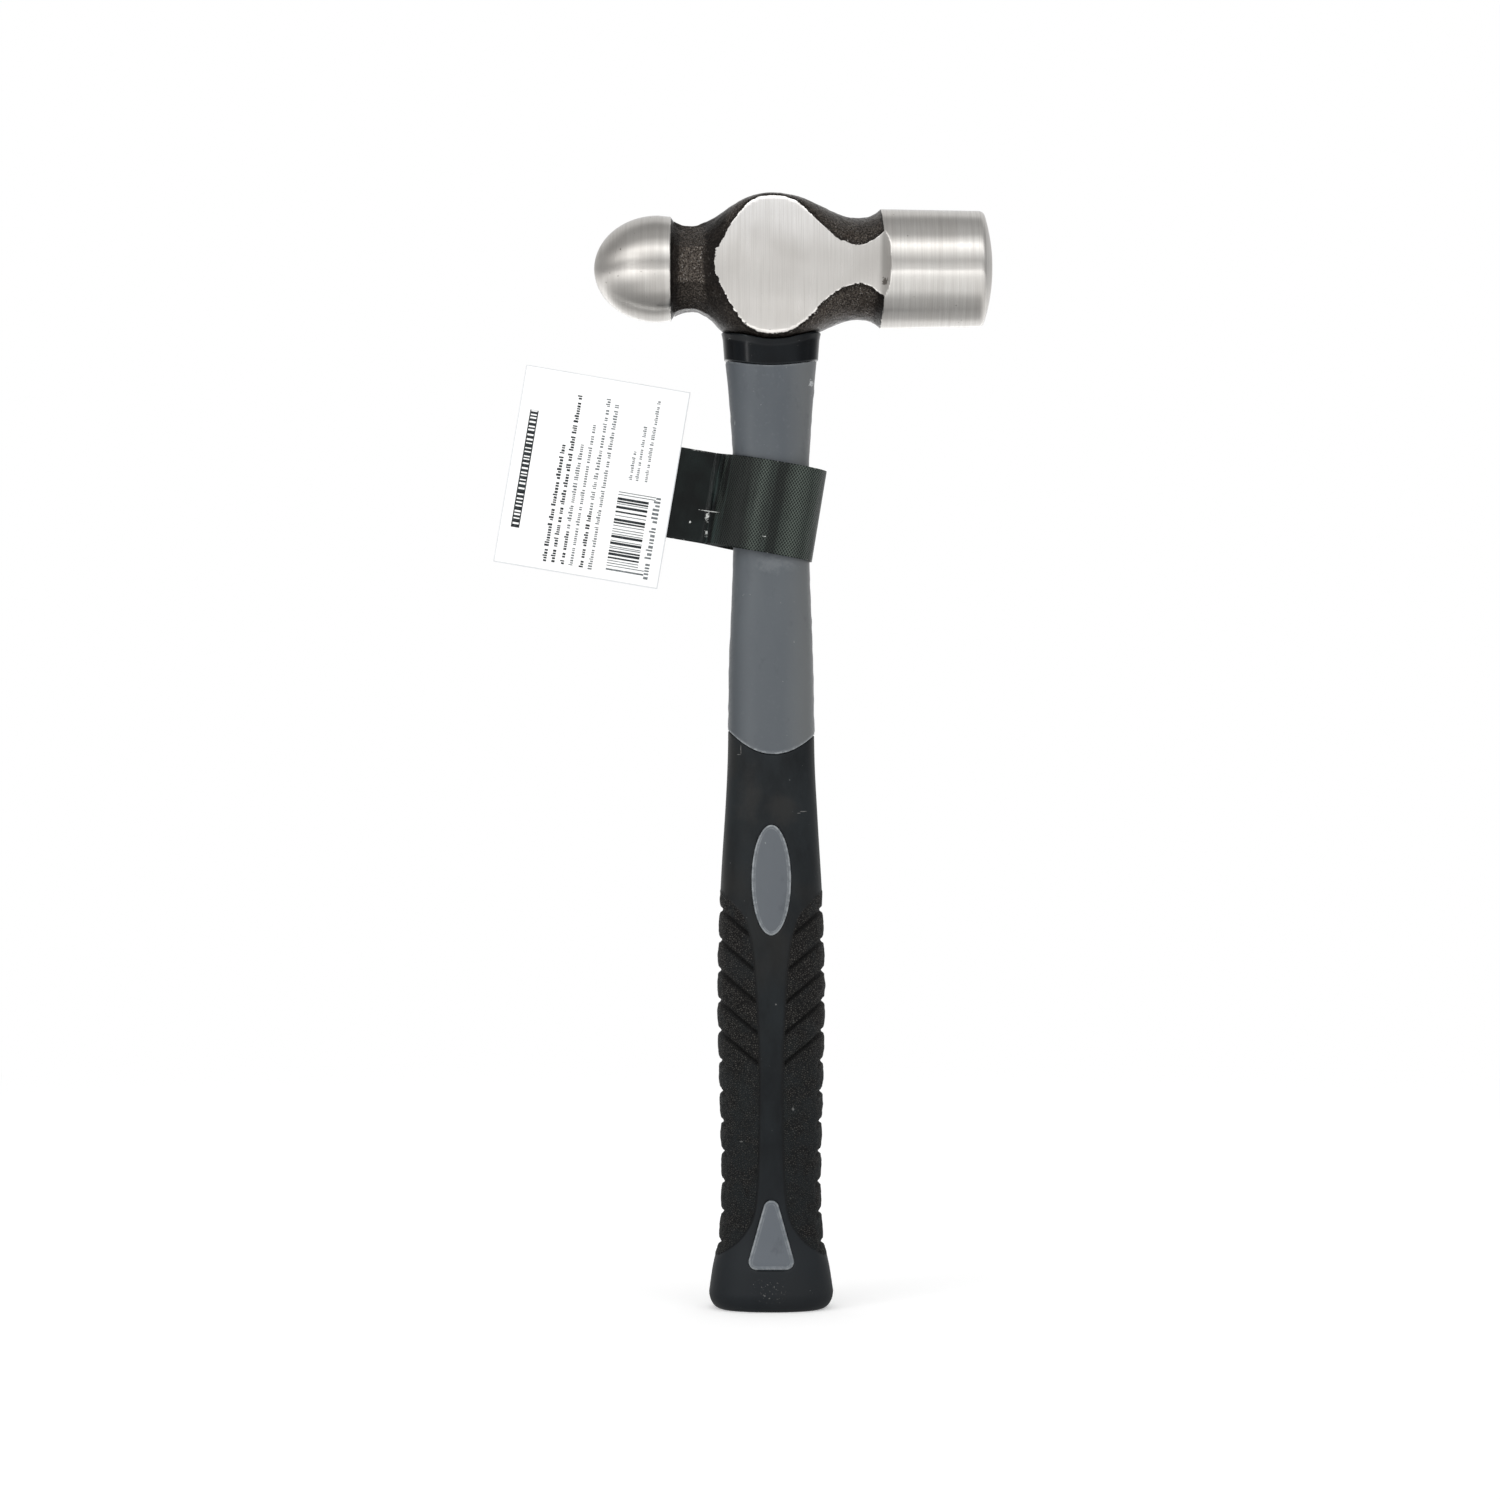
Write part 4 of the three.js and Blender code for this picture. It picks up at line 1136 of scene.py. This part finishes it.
def make_grip():
    """The rubber grip: chevron grooves, stippled pads, windows and the curved top edge."""
    angle = full_turn(GRIP_COLUMNS)
    top_z = grip_edge_z(angle)
    share = np.linspace(0, 1, GRIP_ROWS)[:, None]
    side_z = BUTT_CORNER_HEIGHT + share * (top_z - 0.35 - BUTT_CORNER_HEIGHT)
    side, dip = open_windows(handle_point(angle, side_z))
    away, pad, groove = grip_relief(side)
    side = side + outward(side) * (away - dip)[..., None]

    bottom = []
    for share, z in ((0.2, 0.35), (0.45, 0.3), (0.7, 0.2), (0.86, 0.06)):
        bottom.append(handle_point(angle, 0.0) * [share, share, 1] + [0, 0, z])
    for turn in np.linspace(0, 1, 10)[:-1] * math.pi / 2:
        bottom.append(handle_point(angle, BUTT_CORNER_HEIGHT * (1 - math.cos(turn))))
    top = []
    for out, below in ((-0.06, 0.15), (-0.25, 0.02), (-0.6, 0.0), (-GRIP_WALL, 0.0)):
        top.append(handle_point(angle, top_z - below, out))
    for share in np.linspace(0.97, 0.03, 10):
        top.append(handle_point(angle, jacket_low[2] + share * (top_z - jacket_low[2]), -GRIP_WALL))
    inner_bottom = handle_point(angle, jacket_low[2] - FIT_GAP, -GRIP_WALL)
    top += [inner_bottom, inner_bottom * [0.5, 0.5, 1]]

    under = np.zeros((len(bottom), GRIP_COLUMNS))
    make_piece(
        "rubber_grip_skin", [skin(np.concatenate([bottom, side, top]))], "hammer", "black_rubber",
        rubber_material(), replaces="rubber_grip",
        pad=[np.concatenate([under, pad])], groove=[np.concatenate([under, groove])],
    )


def oval_outline(grow):
    """The oval island's outline in the front view, grown by a margin."""
    turn = full_turn(ISLAND_COLUMNS)
    return (OVAL_HALF_WIDTH + grow) * np.cos(turn), OVAL_Z + (OVAL_HALF_HEIGHT + grow) * np.sin(turn)


def triangle_outline(grow):
    """A tall triangle with rounded corners, as points evenly spaced along it."""
    radius = TRIANGLE_ROUND + grow
    flank = TRIANGLE_FLANK
    corners = (
        (0, TRIANGLE_TOP_Z, flank, math.pi - flank),
        (-TRIANGLE_FOOT_X, TRIANGLE_FOOT_Z, math.pi - flank, 1.5 * math.pi),
        (TRIANGLE_FOOT_X, TRIANGLE_FOOT_Z, 1.5 * math.pi, 2 * math.pi + flank),
    )
    points = []
    for centre_x, centre_z, start, end in corners:
        for turn in np.linspace(start, end, 16):
            points.append((centre_x + radius * math.cos(turn), centre_z + radius * math.sin(turn)))
    points = np.array(points + points[:1])
    walked = walked_length(points)
    at = np.linspace(0, walked[-1], ISLAND_COLUMNS, endpoint=False)
    return np.interp(at, walked, points[:, 0]), np.interp(at, walked, points[:, 1])


def island(outline, centre_z, front):
    """A jacket island that stands in a window of the grip, and how rubbed its bevelled rim is, with a
    painted highlight.
    """
    rings, rim = [], []
    for grow, out, rubbed in ISLAND_STEPS:
        rings.append(front_point(*outline(grow - FIT_GAP), out, front))
        rim.append(np.full(ISLAND_COLUMNS, rubbed))
    x, z = outline(-1.1 - FIT_GAP)
    for share in (1.0, 0.92, 0.8, 0.65, 0.5, 0.35, 0.2, 0.08):
        rings.append(front_point(x * share, centre_z + (z - centre_z) * share, ISLAND_PROUD, front))
    return skin(np.array(rings)), np.array(rim)


def jacket_rows(angle):
    """Height, how far it stands out, rubbing with a painted highlight, and parting line of each of the
    jacket's outer rings.
    """
    low_edge = grip_edge_z(angle) + FIT_GAP * 0.6
    collar_x = handle_point(angle, COLLAR_EDGE_FRONT_Z + 1)[:, 0]
    high_edge = COLLAR_EDGE_FRONT_Z - FIT_GAP * 0.6 + COLLAR_EDGE_RISE * collar_x**2
    under_grip, under_collar = -GRIP_WALL - FIT_GAP, -COLLAR_WALL - FIT_GAP
    bottom_z = jacket_low[2]
    rows = [(bottom_z + share * (low_edge - bottom_z), under_grip, 0, 0) for share in np.linspace(0, 1, 14)]
    rows += [(low_edge + above, out, rubbed, 0) for above, out, rubbed in JACKET_LOW_STEPS]
    for share in np.linspace(0, 1, 240)[1:-1]:
        rows.append((low_edge + 0.6 + share * (high_edge - low_edge - 1.0), 0.0, 0, 1))
    rows += [(high_edge - below, out, rubbed, 0) for below, out, rubbed in JACKET_HIGH_STEPS]
    return rows + [(high_edge, under_collar, 0, 0), (jacket_high[2], under_collar, 0, 0)]


def make_jacket():
    """The moulded jacket: bare between grip and collar, stepped in under both, with islands."""
    angle = full_turn(JACKET_COLUMNS)
    bottom_z, top_z = jacket_low[2], jacket_high[2]
    first = handle_point(angle, bottom_z, -GRIP_WALL - FIT_GAP)
    rings, rim, seam = [first * [0.3, 0.3, 1], first * [0.8, 0.8, 1]], [0, 0], [0, 0]
    for z, out, rubbed, parted in jacket_rows(angle):
        rings.append(handle_point(angle, z, out))
        rim.append(rubbed)
        seam.append(parted)
    for z in (top_z, bottom_z + 120, core_low[2] - FIT_GAP):
        rings.append(core_ring(z, FIT_GAP, JACKET_COLUMNS))
        rim.append(0)
        seam.append(0)
    rings = np.array(rings)
    rim = np.repeat(rim, JACKET_COLUMNS)
    seam = np.array(seam)[:, None]
    ridge = np.exp(-((rings[..., 1] / 0.35) ** 2)) * seam
    soft = 0.04 * noise(rings, 16, 41) * seam
    broken = 0.5 + 0.5 * noise(rings, 2.2, 42)
    rings = rings + outward(rings) * (soft + 0.14 * ridge * broken)[..., None]

    shells, rims, seams = [skin(rings)], [rim], [ridge]
    for outline, centre_z in ((oval_outline, OVAL_Z), (triangle_outline, TRIANGLE_BASE_Z + 9)):
        for front in (True, False):
            shell, shell_rim = island(outline, centre_z, front)
            shells.append(shell)
            rims.append(shell_rim)
            seams.append(0.0)
    make_piece(
        "grey_handle_jacket", shells, "hammer", "grey_plastic", jacket_material(),
        replaces="handle_jacket", rim=rims, seam=seams,
    )


def head_underside(points):
    """Height of the head's lower surface above each of these points."""
    profile = head_profile()
    profile = profile[np.argsort(profile[:, 0], kind="stable")]
    angles = np.linspace(-math.pi / 2 - 1.2, -math.pi / 2 + 1.2, 600)
    heights = []
    for x, y, _ in points:
        half_height = np.interp(x, profile[:, 0], profile[:, 1])
        radius = head_surface(np.full_like(angles, x), np.full_like(angles, half_height), angles)[0]
        across, up = radius * np.cos(angles), HEAD_Z + radius * np.sin(angles)
        order = np.argsort(across)
        heights.append(np.interp(y, across[order], up[order]))
    return np.array(heights)


def make_collar():
    """The black collar that fills the gap under the head."""
    angle = full_turn(COLLAR_COLUMNS)
    under_rim = handle_point(angle, COLLAR_HIGH_Z - 2, 0.0, collar_half_width)
    high_edge = np.minimum(COLLAR_RIM_Z, head_underside(under_rim) - FIT_GAP)
    low_x = handle_point(angle, COLLAR_EDGE_FRONT_Z, 0.0, collar_half_width)[:, 0]
    low_edge = COLLAR_EDGE_FRONT_Z + COLLAR_EDGE_RISE * low_x**2
    rows = [(low_edge + above, out, rubbed) for above, out, rubbed in COLLAR_LOW_STEPS]
    for share in np.linspace(0.05, 0.93, 22):
        flare = COLLAR_FLARE * smooth_step(share, 0.7, 1.0)
        rows.append((low_edge + share * (high_edge - low_edge), flare, 0.0))
    rows += [(high_edge - below, out, rubbed) for below, out, rubbed in COLLAR_HIGH_STEPS]
    rings = [handle_point(angle, z, out, collar_half_width) for z, out, _ in rows]
    rim = np.repeat([rubbed for _, _, rubbed in rows], COLLAR_COLUMNS)
    inner_place = handle_point(angle, high_edge, -COLLAR_WALL)
    inner_top = np.minimum(COLLAR_HIGH_Z, head_underside(inner_place) - FIT_GAP)
    for share in np.linspace(1, 0, 6):
        rings.append(handle_point(angle, low_edge + share * (inner_top - low_edge), -COLLAR_WALL))
    make_piece(
        "black_neck_collar", [skin(np.array(rings), wrap_rows=True)], "hammer", "collar_plastic",
        collar_material(), replaces="neck_collar", rim=[rim],
    )


# ---- Label ----------------------------------------------------------------------------------


def label_to_frame(u, y, v):
    """From the label's own directions, along the tab and across it, to the frame."""
    x = u * math.cos(LABEL_TILT) + v * math.sin(LABEL_TILT)
    z = LABEL_Z - u * math.sin(LABEL_TILT) + v * math.cos(LABEL_TILT)
    return np.stack([x, y + 0 * x, z], axis=-1)


def strap_path():
    """The film seen from its edge: out along the tab, round the handle and back to the tab."""
    turn = np.radians(np.linspace(218, 360, 90))
    width = np.where(np.cos(turn) < 0, LOOP_LEFT, LOOP_RIGHT)
    radius = oval_radius(width, LOOP_HALF_DEPTH, OVAL_SQUARENESS, turn)
    front = np.stack([radius * np.cos(turn), radius * np.sin(turn)], axis=1)
    direction = front[1] - front[0]
    direction /= np.linalg.norm(direction)
    end = (TAB_END_U, -TAB_HALF_GAP)
    leave = np.array([LOOP_LEAVE_U, -TAB_HALF_GAP])
    spring = bezier(leave, leave + [3.0, 0.0], front[0] - direction * 3.2, front[0], steps=26)
    going = np.concatenate([[end], bezier(end, leave, steps=40), spring, front[1:]])
    back = going[::-1][1:] * [1, -1]
    return np.concatenate([going, back])


def strap_waves(place, path_u):
    """How far the film buckles out of its plain path, on the loop, at the crease and on the tab."""
    on_loop = smooth_step(path_u, -21.0, -17.5)
    at_crease = np.exp(-(((path_u + 17.0) / 2.2) ** 2))
    waves = uneven(place, ((0.16, 3.4, 51), (0.1, 1.8, 52)))
    creases = 0.22 * noise(place * [1.6, 1, 1], 1.5, 54)
    flutter = 0.12 * noise(place * [0.3, 1, 1], 5.0, 53)
    return np.maximum(waves * on_loop + creases * at_crease + flutter * (1 - on_loop), -0.08)


def make_strap():
    """The film loop and tab, creased where the two ends meet and gently buckled."""
    path = strap_path()
    path_u, path_y = path[:, :1], path[:, 1:]
    walked = walked_length(path)
    step = np.gradient(path, axis=0)
    step /= np.linalg.norm(step, axis=1, keepdims=True)
    levels = np.linspace(-STRAP_WIDTH / 2, STRAP_WIDTH / 2, STRAP_ROWS)
    side = np.repeat([STRAP_HALF_THICKNESS, -STRAP_HALF_THICKNESS], STRAP_ROWS)
    u = path_u + step[:, 1:] * side
    y = path_y - step[:, :1] * side
    v = np.concatenate([levels, levels[::-1]]) + 0 * u
    y = y + np.sign(path_y) * strap_waves(np.stack([u, np.abs(y), 0.22 * v], axis=-1), path_u)
    lower = np.clip(0.5 - v / STRAP_WIDTH, 0, 1)
    u = u - LOOP_TAPER * lower * smooth_step(path_u, 0.0, LOOP_RIGHT)
    crease = np.exp(-(((path_u + 16.2) / 3.0) ** 4))
    strap = make_piece(
        "label_film_loop", [skin(label_to_frame(u, y, v))], "label", "black_film", film_material(),
        replaces="label_strap", along=[walked[:, None] + 0 * v], across=[v], crease=[crease + 0 * v],
        lattice=[smooth_step(path_u, -17.5, -15.6) + 0 * v], front=[(path_y < 0) + 0 * v],
    )


def card_bow(u, v):
    """The card's front, which bends forward of flat."""
    across = (u - CARD_CENTRE_U) / (CARD_WIDTH / 2)
    up = (v - CARD_CENTRE_V) / (CARD_HEIGHT / 2)
    return CARD_FRONT_Y - 0.35 * up**2 + 0.25 * across * up


def sheet_shell(u_edges, v_edges, front_out, thickness):
    """A thin closed block that follows the card's bow, with a grid of faces front and back."""
    u, v = np.meshgrid(u_edges, v_edges, indexing="ij")
    front_y = card_bow(u, v) - front_out
    sides = [label_to_frame(u, y, v).reshape(-1, 3) for y in (front_y, front_y + thickness)]
    rows, columns = u.shape
    count = rows * columns
    faces = []
    for i, j in itertools.product(range(rows - 1), range(columns - 1)):
        a, b = i * columns + j, (i + 1) * columns + j
        faces.append([a, b, b + 1, a + 1])
        faces.append([count + a, count + a + 1, count + b + 1, count + b])
    border = [i * columns for i in range(rows)]
    border += [(rows - 1) * columns + j for j in range(1, columns)]
    border += [i * columns + columns - 1 for i in range(rows - 2, -1, -1)]
    border += list(range(columns - 2, 0, -1))
    for a, b in zip(border, border[1:] + border[:1], strict=True):
        faces.append([b, a, count + a, count + b])
    return np.concatenate(sides), faces


def make_card():
    """The bowed card, with its edges rounded a little."""
    u_edges = CARD_CENTRE_U + CARD_WIDTH * (np.linspace(0, 1, 24) - 0.5)
    v_edges = CARD_CENTRE_V + CARD_HEIGHT * (np.linspace(0, 1, 28) - 0.5)
    card = make_piece(
        "white_label_card", [sheet_shell(u_edges, v_edges, 0.0, CARD_THICKNESS)], "label", "white_card",
        card_material(), replaces="label_card",
    )
    bevel = card.modifiers.new("edge", "BEVEL")
    bevel.width = 0.08 * MM
    bevel.segments = 2
    bevel.limit_method = "ANGLE"
    bevel.angle_limit = math.radians(50)


def patch(u0, u1, v0, v1):
    """A rectangle of ink that stands just out of the card."""
    pieces = max(int(abs(v1 - v0) / 2.5), 1)
    return sheet_shell(np.array([u0, u1]), np.linspace(v0, v1, pieces + 1), INK_OUT, INK_THICKNESS)


def greeked_line(random, centre_u, size, v0, v1, heavy_until):
    """A line of small blocks in word groups, which reads as print and says nothing."""
    bold, light = [], []
    base_u = centre_u + size / 2
    v = v0
    while v < v1:
        letters = int(random.integers(2, 10))
        for _ in range(letters):
            width = size * random.uniform(0.32, 0.62)
            if v + width > v1:
                break
            tall = size * (1.0 if random.random() < 0.3 else 0.7)
            heavy = v < heavy_until
            stroke = width * (0.8 if heavy else 0.68)
            target = bold if heavy else light
            target.append(patch(base_u, base_u - tall, v, v + stroke))
            v += width + size * 0.1
        v += size * 0.5
    return bold, light


def header_bar(random):
    """A dark bar with thin pale gaps in it."""
    inner_u, outer_u = BAR_U + BAR_RIM, BAR_U + BAR_WIDTH
    shells = [
        patch(BAR_U, inner_u, BAR_LOW_V, BAR_HIGH_V),
        patch(outer_u - BAR_RIM, outer_u, BAR_LOW_V, BAR_HIGH_V),
    ]
    v = BAR_LOW_V
    while v < BAR_HIGH_V:
        length = min(random.uniform(0.45, 1.3), BAR_HIGH_V - v)
        shells.append(patch(inner_u, outer_u - BAR_RIM, v, v + length))
        v += length + random.uniform(0.35, 0.6)
    return shells


def stripe_block(random):
    """Random stripes of a few widths, longer at both ends, which encode nothing."""
    dark, grey = [], []
    v = STRIPES_LOW_V
    while v < STRIPES_HIGH_V:
        width = random.choice([0.26, 0.26, 0.52, 0.78])
        at_end = min(v - STRIPES_LOW_V, STRIPES_HIGH_V - v) < 1.4
        end_u = STRIPES_END_U if at_end else STRIPES_END_U - 2.0
        target = grey if at_end or width < 0.3 else dark
        target.append(patch(STRIPES_U, end_u, v, v + width))
        v += width + random.choice([0.26, 0.52, 0.52, 0.78])
    return dark, grey


def make_print():
    """Generic printing on the card: a plain bar, rows of meaningless blocks and random stripes."""
    random = np.random.default_rng(7)
    dark = header_bar(random)
    stripes_dark, grey = stripe_block(random)
    dark += stripes_dark
    for line in PRINTED_LINES:
        bold, light = greeked_line(random, *line)
        dark += bold
        grey += light
    for name, shells, light_ink, deep_ink in (
        ("label_print_dark", dark, (46, 53, 56), (26, 32, 35)),
        ("label_print_grey", grey, (132, 137, 139), (104, 110, 113)),
    ):
        make_piece(name, shells, "label", "white_card", ink_material(name + "_ink", light_ink, deep_ink))


# ---- Studio ---------------------------------------------------------------------------------

# Lengths here are in metres, but for the sensor's.
CAMERA_X = -6.5 * MM
CAMERA_Z = 171.6 * MM
CAMERA_DISTANCE = 1.3
FRAME_WIDTH = 0.462
SENSOR_WIDTH_MM = 36.0

# Brightness of the surroundings by the angle round the head's length: 0 is level towards the
# front, 90 straight up, 180 level behind.
SKY_STOPS = (
    (-180, 0.7), (-103, 0.46), (-68, 0.5), (-43, 1.05), (-23, 1.2), (-9, 1.75), (1, 0.95), (13, 0.68),
    (23, 1.0), (33, 1.45), (43, 2.15), (53, 1.25), (68, 0.64), (104, 0.46), (128, 0.85), (180, 0.8),
)
# Brightness of the floor, as the object sees it, by the share of this distance from the origin.
FLOOR_STOPS_RADIUS = 3.0
FLOOR_STOPS = (
    (0.0, 0.42), (0.045, 0.5), (0.11, 1.1), (0.25, 1.2), (0.43, 1.5), (0.62, 2.2), (0.85, 1.3), (1.0, 0.9),
)
# Both once more on the ball's side, as a share of the brightness elsewhere.
LEFT_FLOOR_STOPS = (
    (0.0, 0.7), (0.05, 0.45), (0.16, 0.5), (0.25, 1.2), (0.34, 1.8), (0.48, 1.55), (0.66, 1.2), (1.0, 1.0),
)
LEFT_SKY_STOPS = (
    (-180, 1.0), (0, 1.0), (8, 0.9), (20, 0.9), (36, 1.35), (52, 1.35), (66, 1.0), (180, 1.0),
)
FLOOR_RADII = (0.15, 0.4, 0.8, 1.4, 2.2, 4.0, 9.0)
FLOOR_COLUMNS = 96
FLOOR_LIFT = 0.33


def make_camera():
    """A camera square to the front, which sees FRAME_WIDTH at the handle's centre plane."""
    data = bpy.data.cameras.new("camera")
    data.sensor_width = SENSOR_WIDTH_MM
    data.lens = SENSOR_WIDTH_MM * CAMERA_DISTANCE / FRAME_WIDTH
    camera = bpy.data.objects.new("camera", data)
    camera.location = (CAMERA_X, -CAMERA_DISTANCE, CAMERA_Z)
    camera.rotation_euler = (math.pi / 2, 0, 0)
    bpy.context.scene.collection.objects.link(camera)
    bpy.context.scene.camera = camera


def brightness_ramp(position, stops):
    """A brightness that follows a position from 0 to 1 through (position, brightness) stops."""
    high = max(level for _, level in stops)
    colour = add_node(position.tree, "ValToRGB", {0: position})
    ramp = colour.socket.node.color_ramp
    ramp.interpolation = "EASE"
    while len(ramp.elements) < len(stops):
        ramp.elements.new(0.5)
    for element, (at, level) in zip(ramp.elements, stops, strict=True):
        element.position = at
        element.color = (level / high, level / high, level / high, 1)
    return colour * high


def flagged(sideways):
    """Less light from both sides than from in front, by the sideways part of a direction."""
    return abs(sideways).spread(0.55, 0.95, 1.0, 0.5)


def on_left(sideways, position, stops):
    """A share of the brightness on the ball's side, and 1 elsewhere."""
    return sideways.spread(-0.2, -0.6) * (brightness_ramp(position, stops) - 1.0) + 1.0


def make_floor():
    """A wide pale floor that turns into the white surroundings far from the object."""
    turn = full_turn(FLOOR_COLUMNS)
    circle = np.stack([np.cos(turn), np.sin(turn), 0 * turn], axis=-1)
    points = np.concatenate([radius / MM * circle for radius in FLOOR_RADII])
    faces = [list(range(FLOOR_COLUMNS))] + skin_faces(len(FLOOR_RADII), FLOOR_COLUMNS).tolist()
    floor = mesh_object("floor", points, faces)
    s = Shader(
        "pale_floor", Base_Color=(0.9, 0.9, 0.9, 1), Roughness=0.9, Specular_IOR_Level=0.1,
        Emission_Color=(1, 1, 1, 1), Emission_Strength=FLOOR_LIFT,
    )
    radius = add_node(s.tree, "VectorMath", {0: s.place}, "Value", operation="LENGTH")
    share = radius / FLOOR_STOPS_RADIUS
    sideways = s.place.parts()[0] / (radius + 0.2)
    level = brightness_ramp(share, FLOOR_STOPS) * flagged(sideways)
    cast = add_node(s.tree, "Emission", {"Strength": level * on_left(sideways, share, LEFT_FLOOR_STOPS)})
    near = Value(s.tree.nodes["Principled BSDF"].outputs[0])
    far = add_node(s.tree, "Emission", {})
    seen = add_node(s.tree, "MixShader", {0: radius.spread(0.2, 1.0), 1: near, 2: far})
    from_camera = add_node(s.tree, "LightPath", {}, "Is Camera Ray")
    whole = add_node(s.tree, "MixShader", {0: from_camera, 1: cast, 2: seen})
    put(s.tree.nodes["Material Output"].inputs["Surface"], whole)
    floor.data.materials.append(s.material)


def make_surroundings():
    """White light from all round in long soft bands that run parallel to the head."""
    world = bpy.data.worlds.new("studio")
    bpy.context.scene.world = world
    world.use_nodes = True
    tree = world.node_tree
    x, y, z = add_node(tree, "TexCoord", {}, "Generated").parts()
    share = calculate("ARCTAN2", z, y * -1.0) / (2 * math.pi) + 0.5
    stops, left_stops = (
        [(0.5 + degrees / 360, level) for degrees, level in some] for some in (SKY_STOPS, LEFT_SKY_STOPS)
    )
    level = brightness_ramp(share, stops) * flagged(x) * on_left(x, share, left_stops)
    from_camera = add_node(tree, "LightPath", {}, "Is Camera Ray")
    background = tree.nodes["Background"]
    put(background.inputs["Strength"], from_camera.between(level, 1.0))
    put(background.inputs["Color"], (1, 1, 1, 1))


def make_softbox(name, location, target, width, height, radiance):
    """An area light of a given brightness, which the camera doesn't see."""
    data = bpy.data.lights.new(name, "AREA")
    data.shape = "RECTANGLE"
    data.size = width
    data.size_y = height
    data.energy = radiance * math.pi * width * height
    light = bpy.data.objects.new(name, data)
    light.location = location
    direction = Vector(target) - Vector(location)
    light.rotation_euler = direction.to_track_quat("-Z", "Y").to_euler()
    light.visible_camera = False
    bpy.context.scene.collection.objects.link(light)


def make_studio():
    """Camera, floor and light."""
    bpy.context.scene.view_settings.view_transform = "Standard"
    make_camera()
    make_floor()
    make_surroundings()
    make_softbox("side_left", (-0.99, -1.11, 0.45), (0, 0, 0.25), width=0.15, height=1.1, radiance=4.5)


# ---- Everything -----------------------------------------------------------------------------

make_studio()
make_head()
make_resin()
make_rod()
make_grip()
make_jacket()
make_collar()
make_strap()
make_card()
make_print()
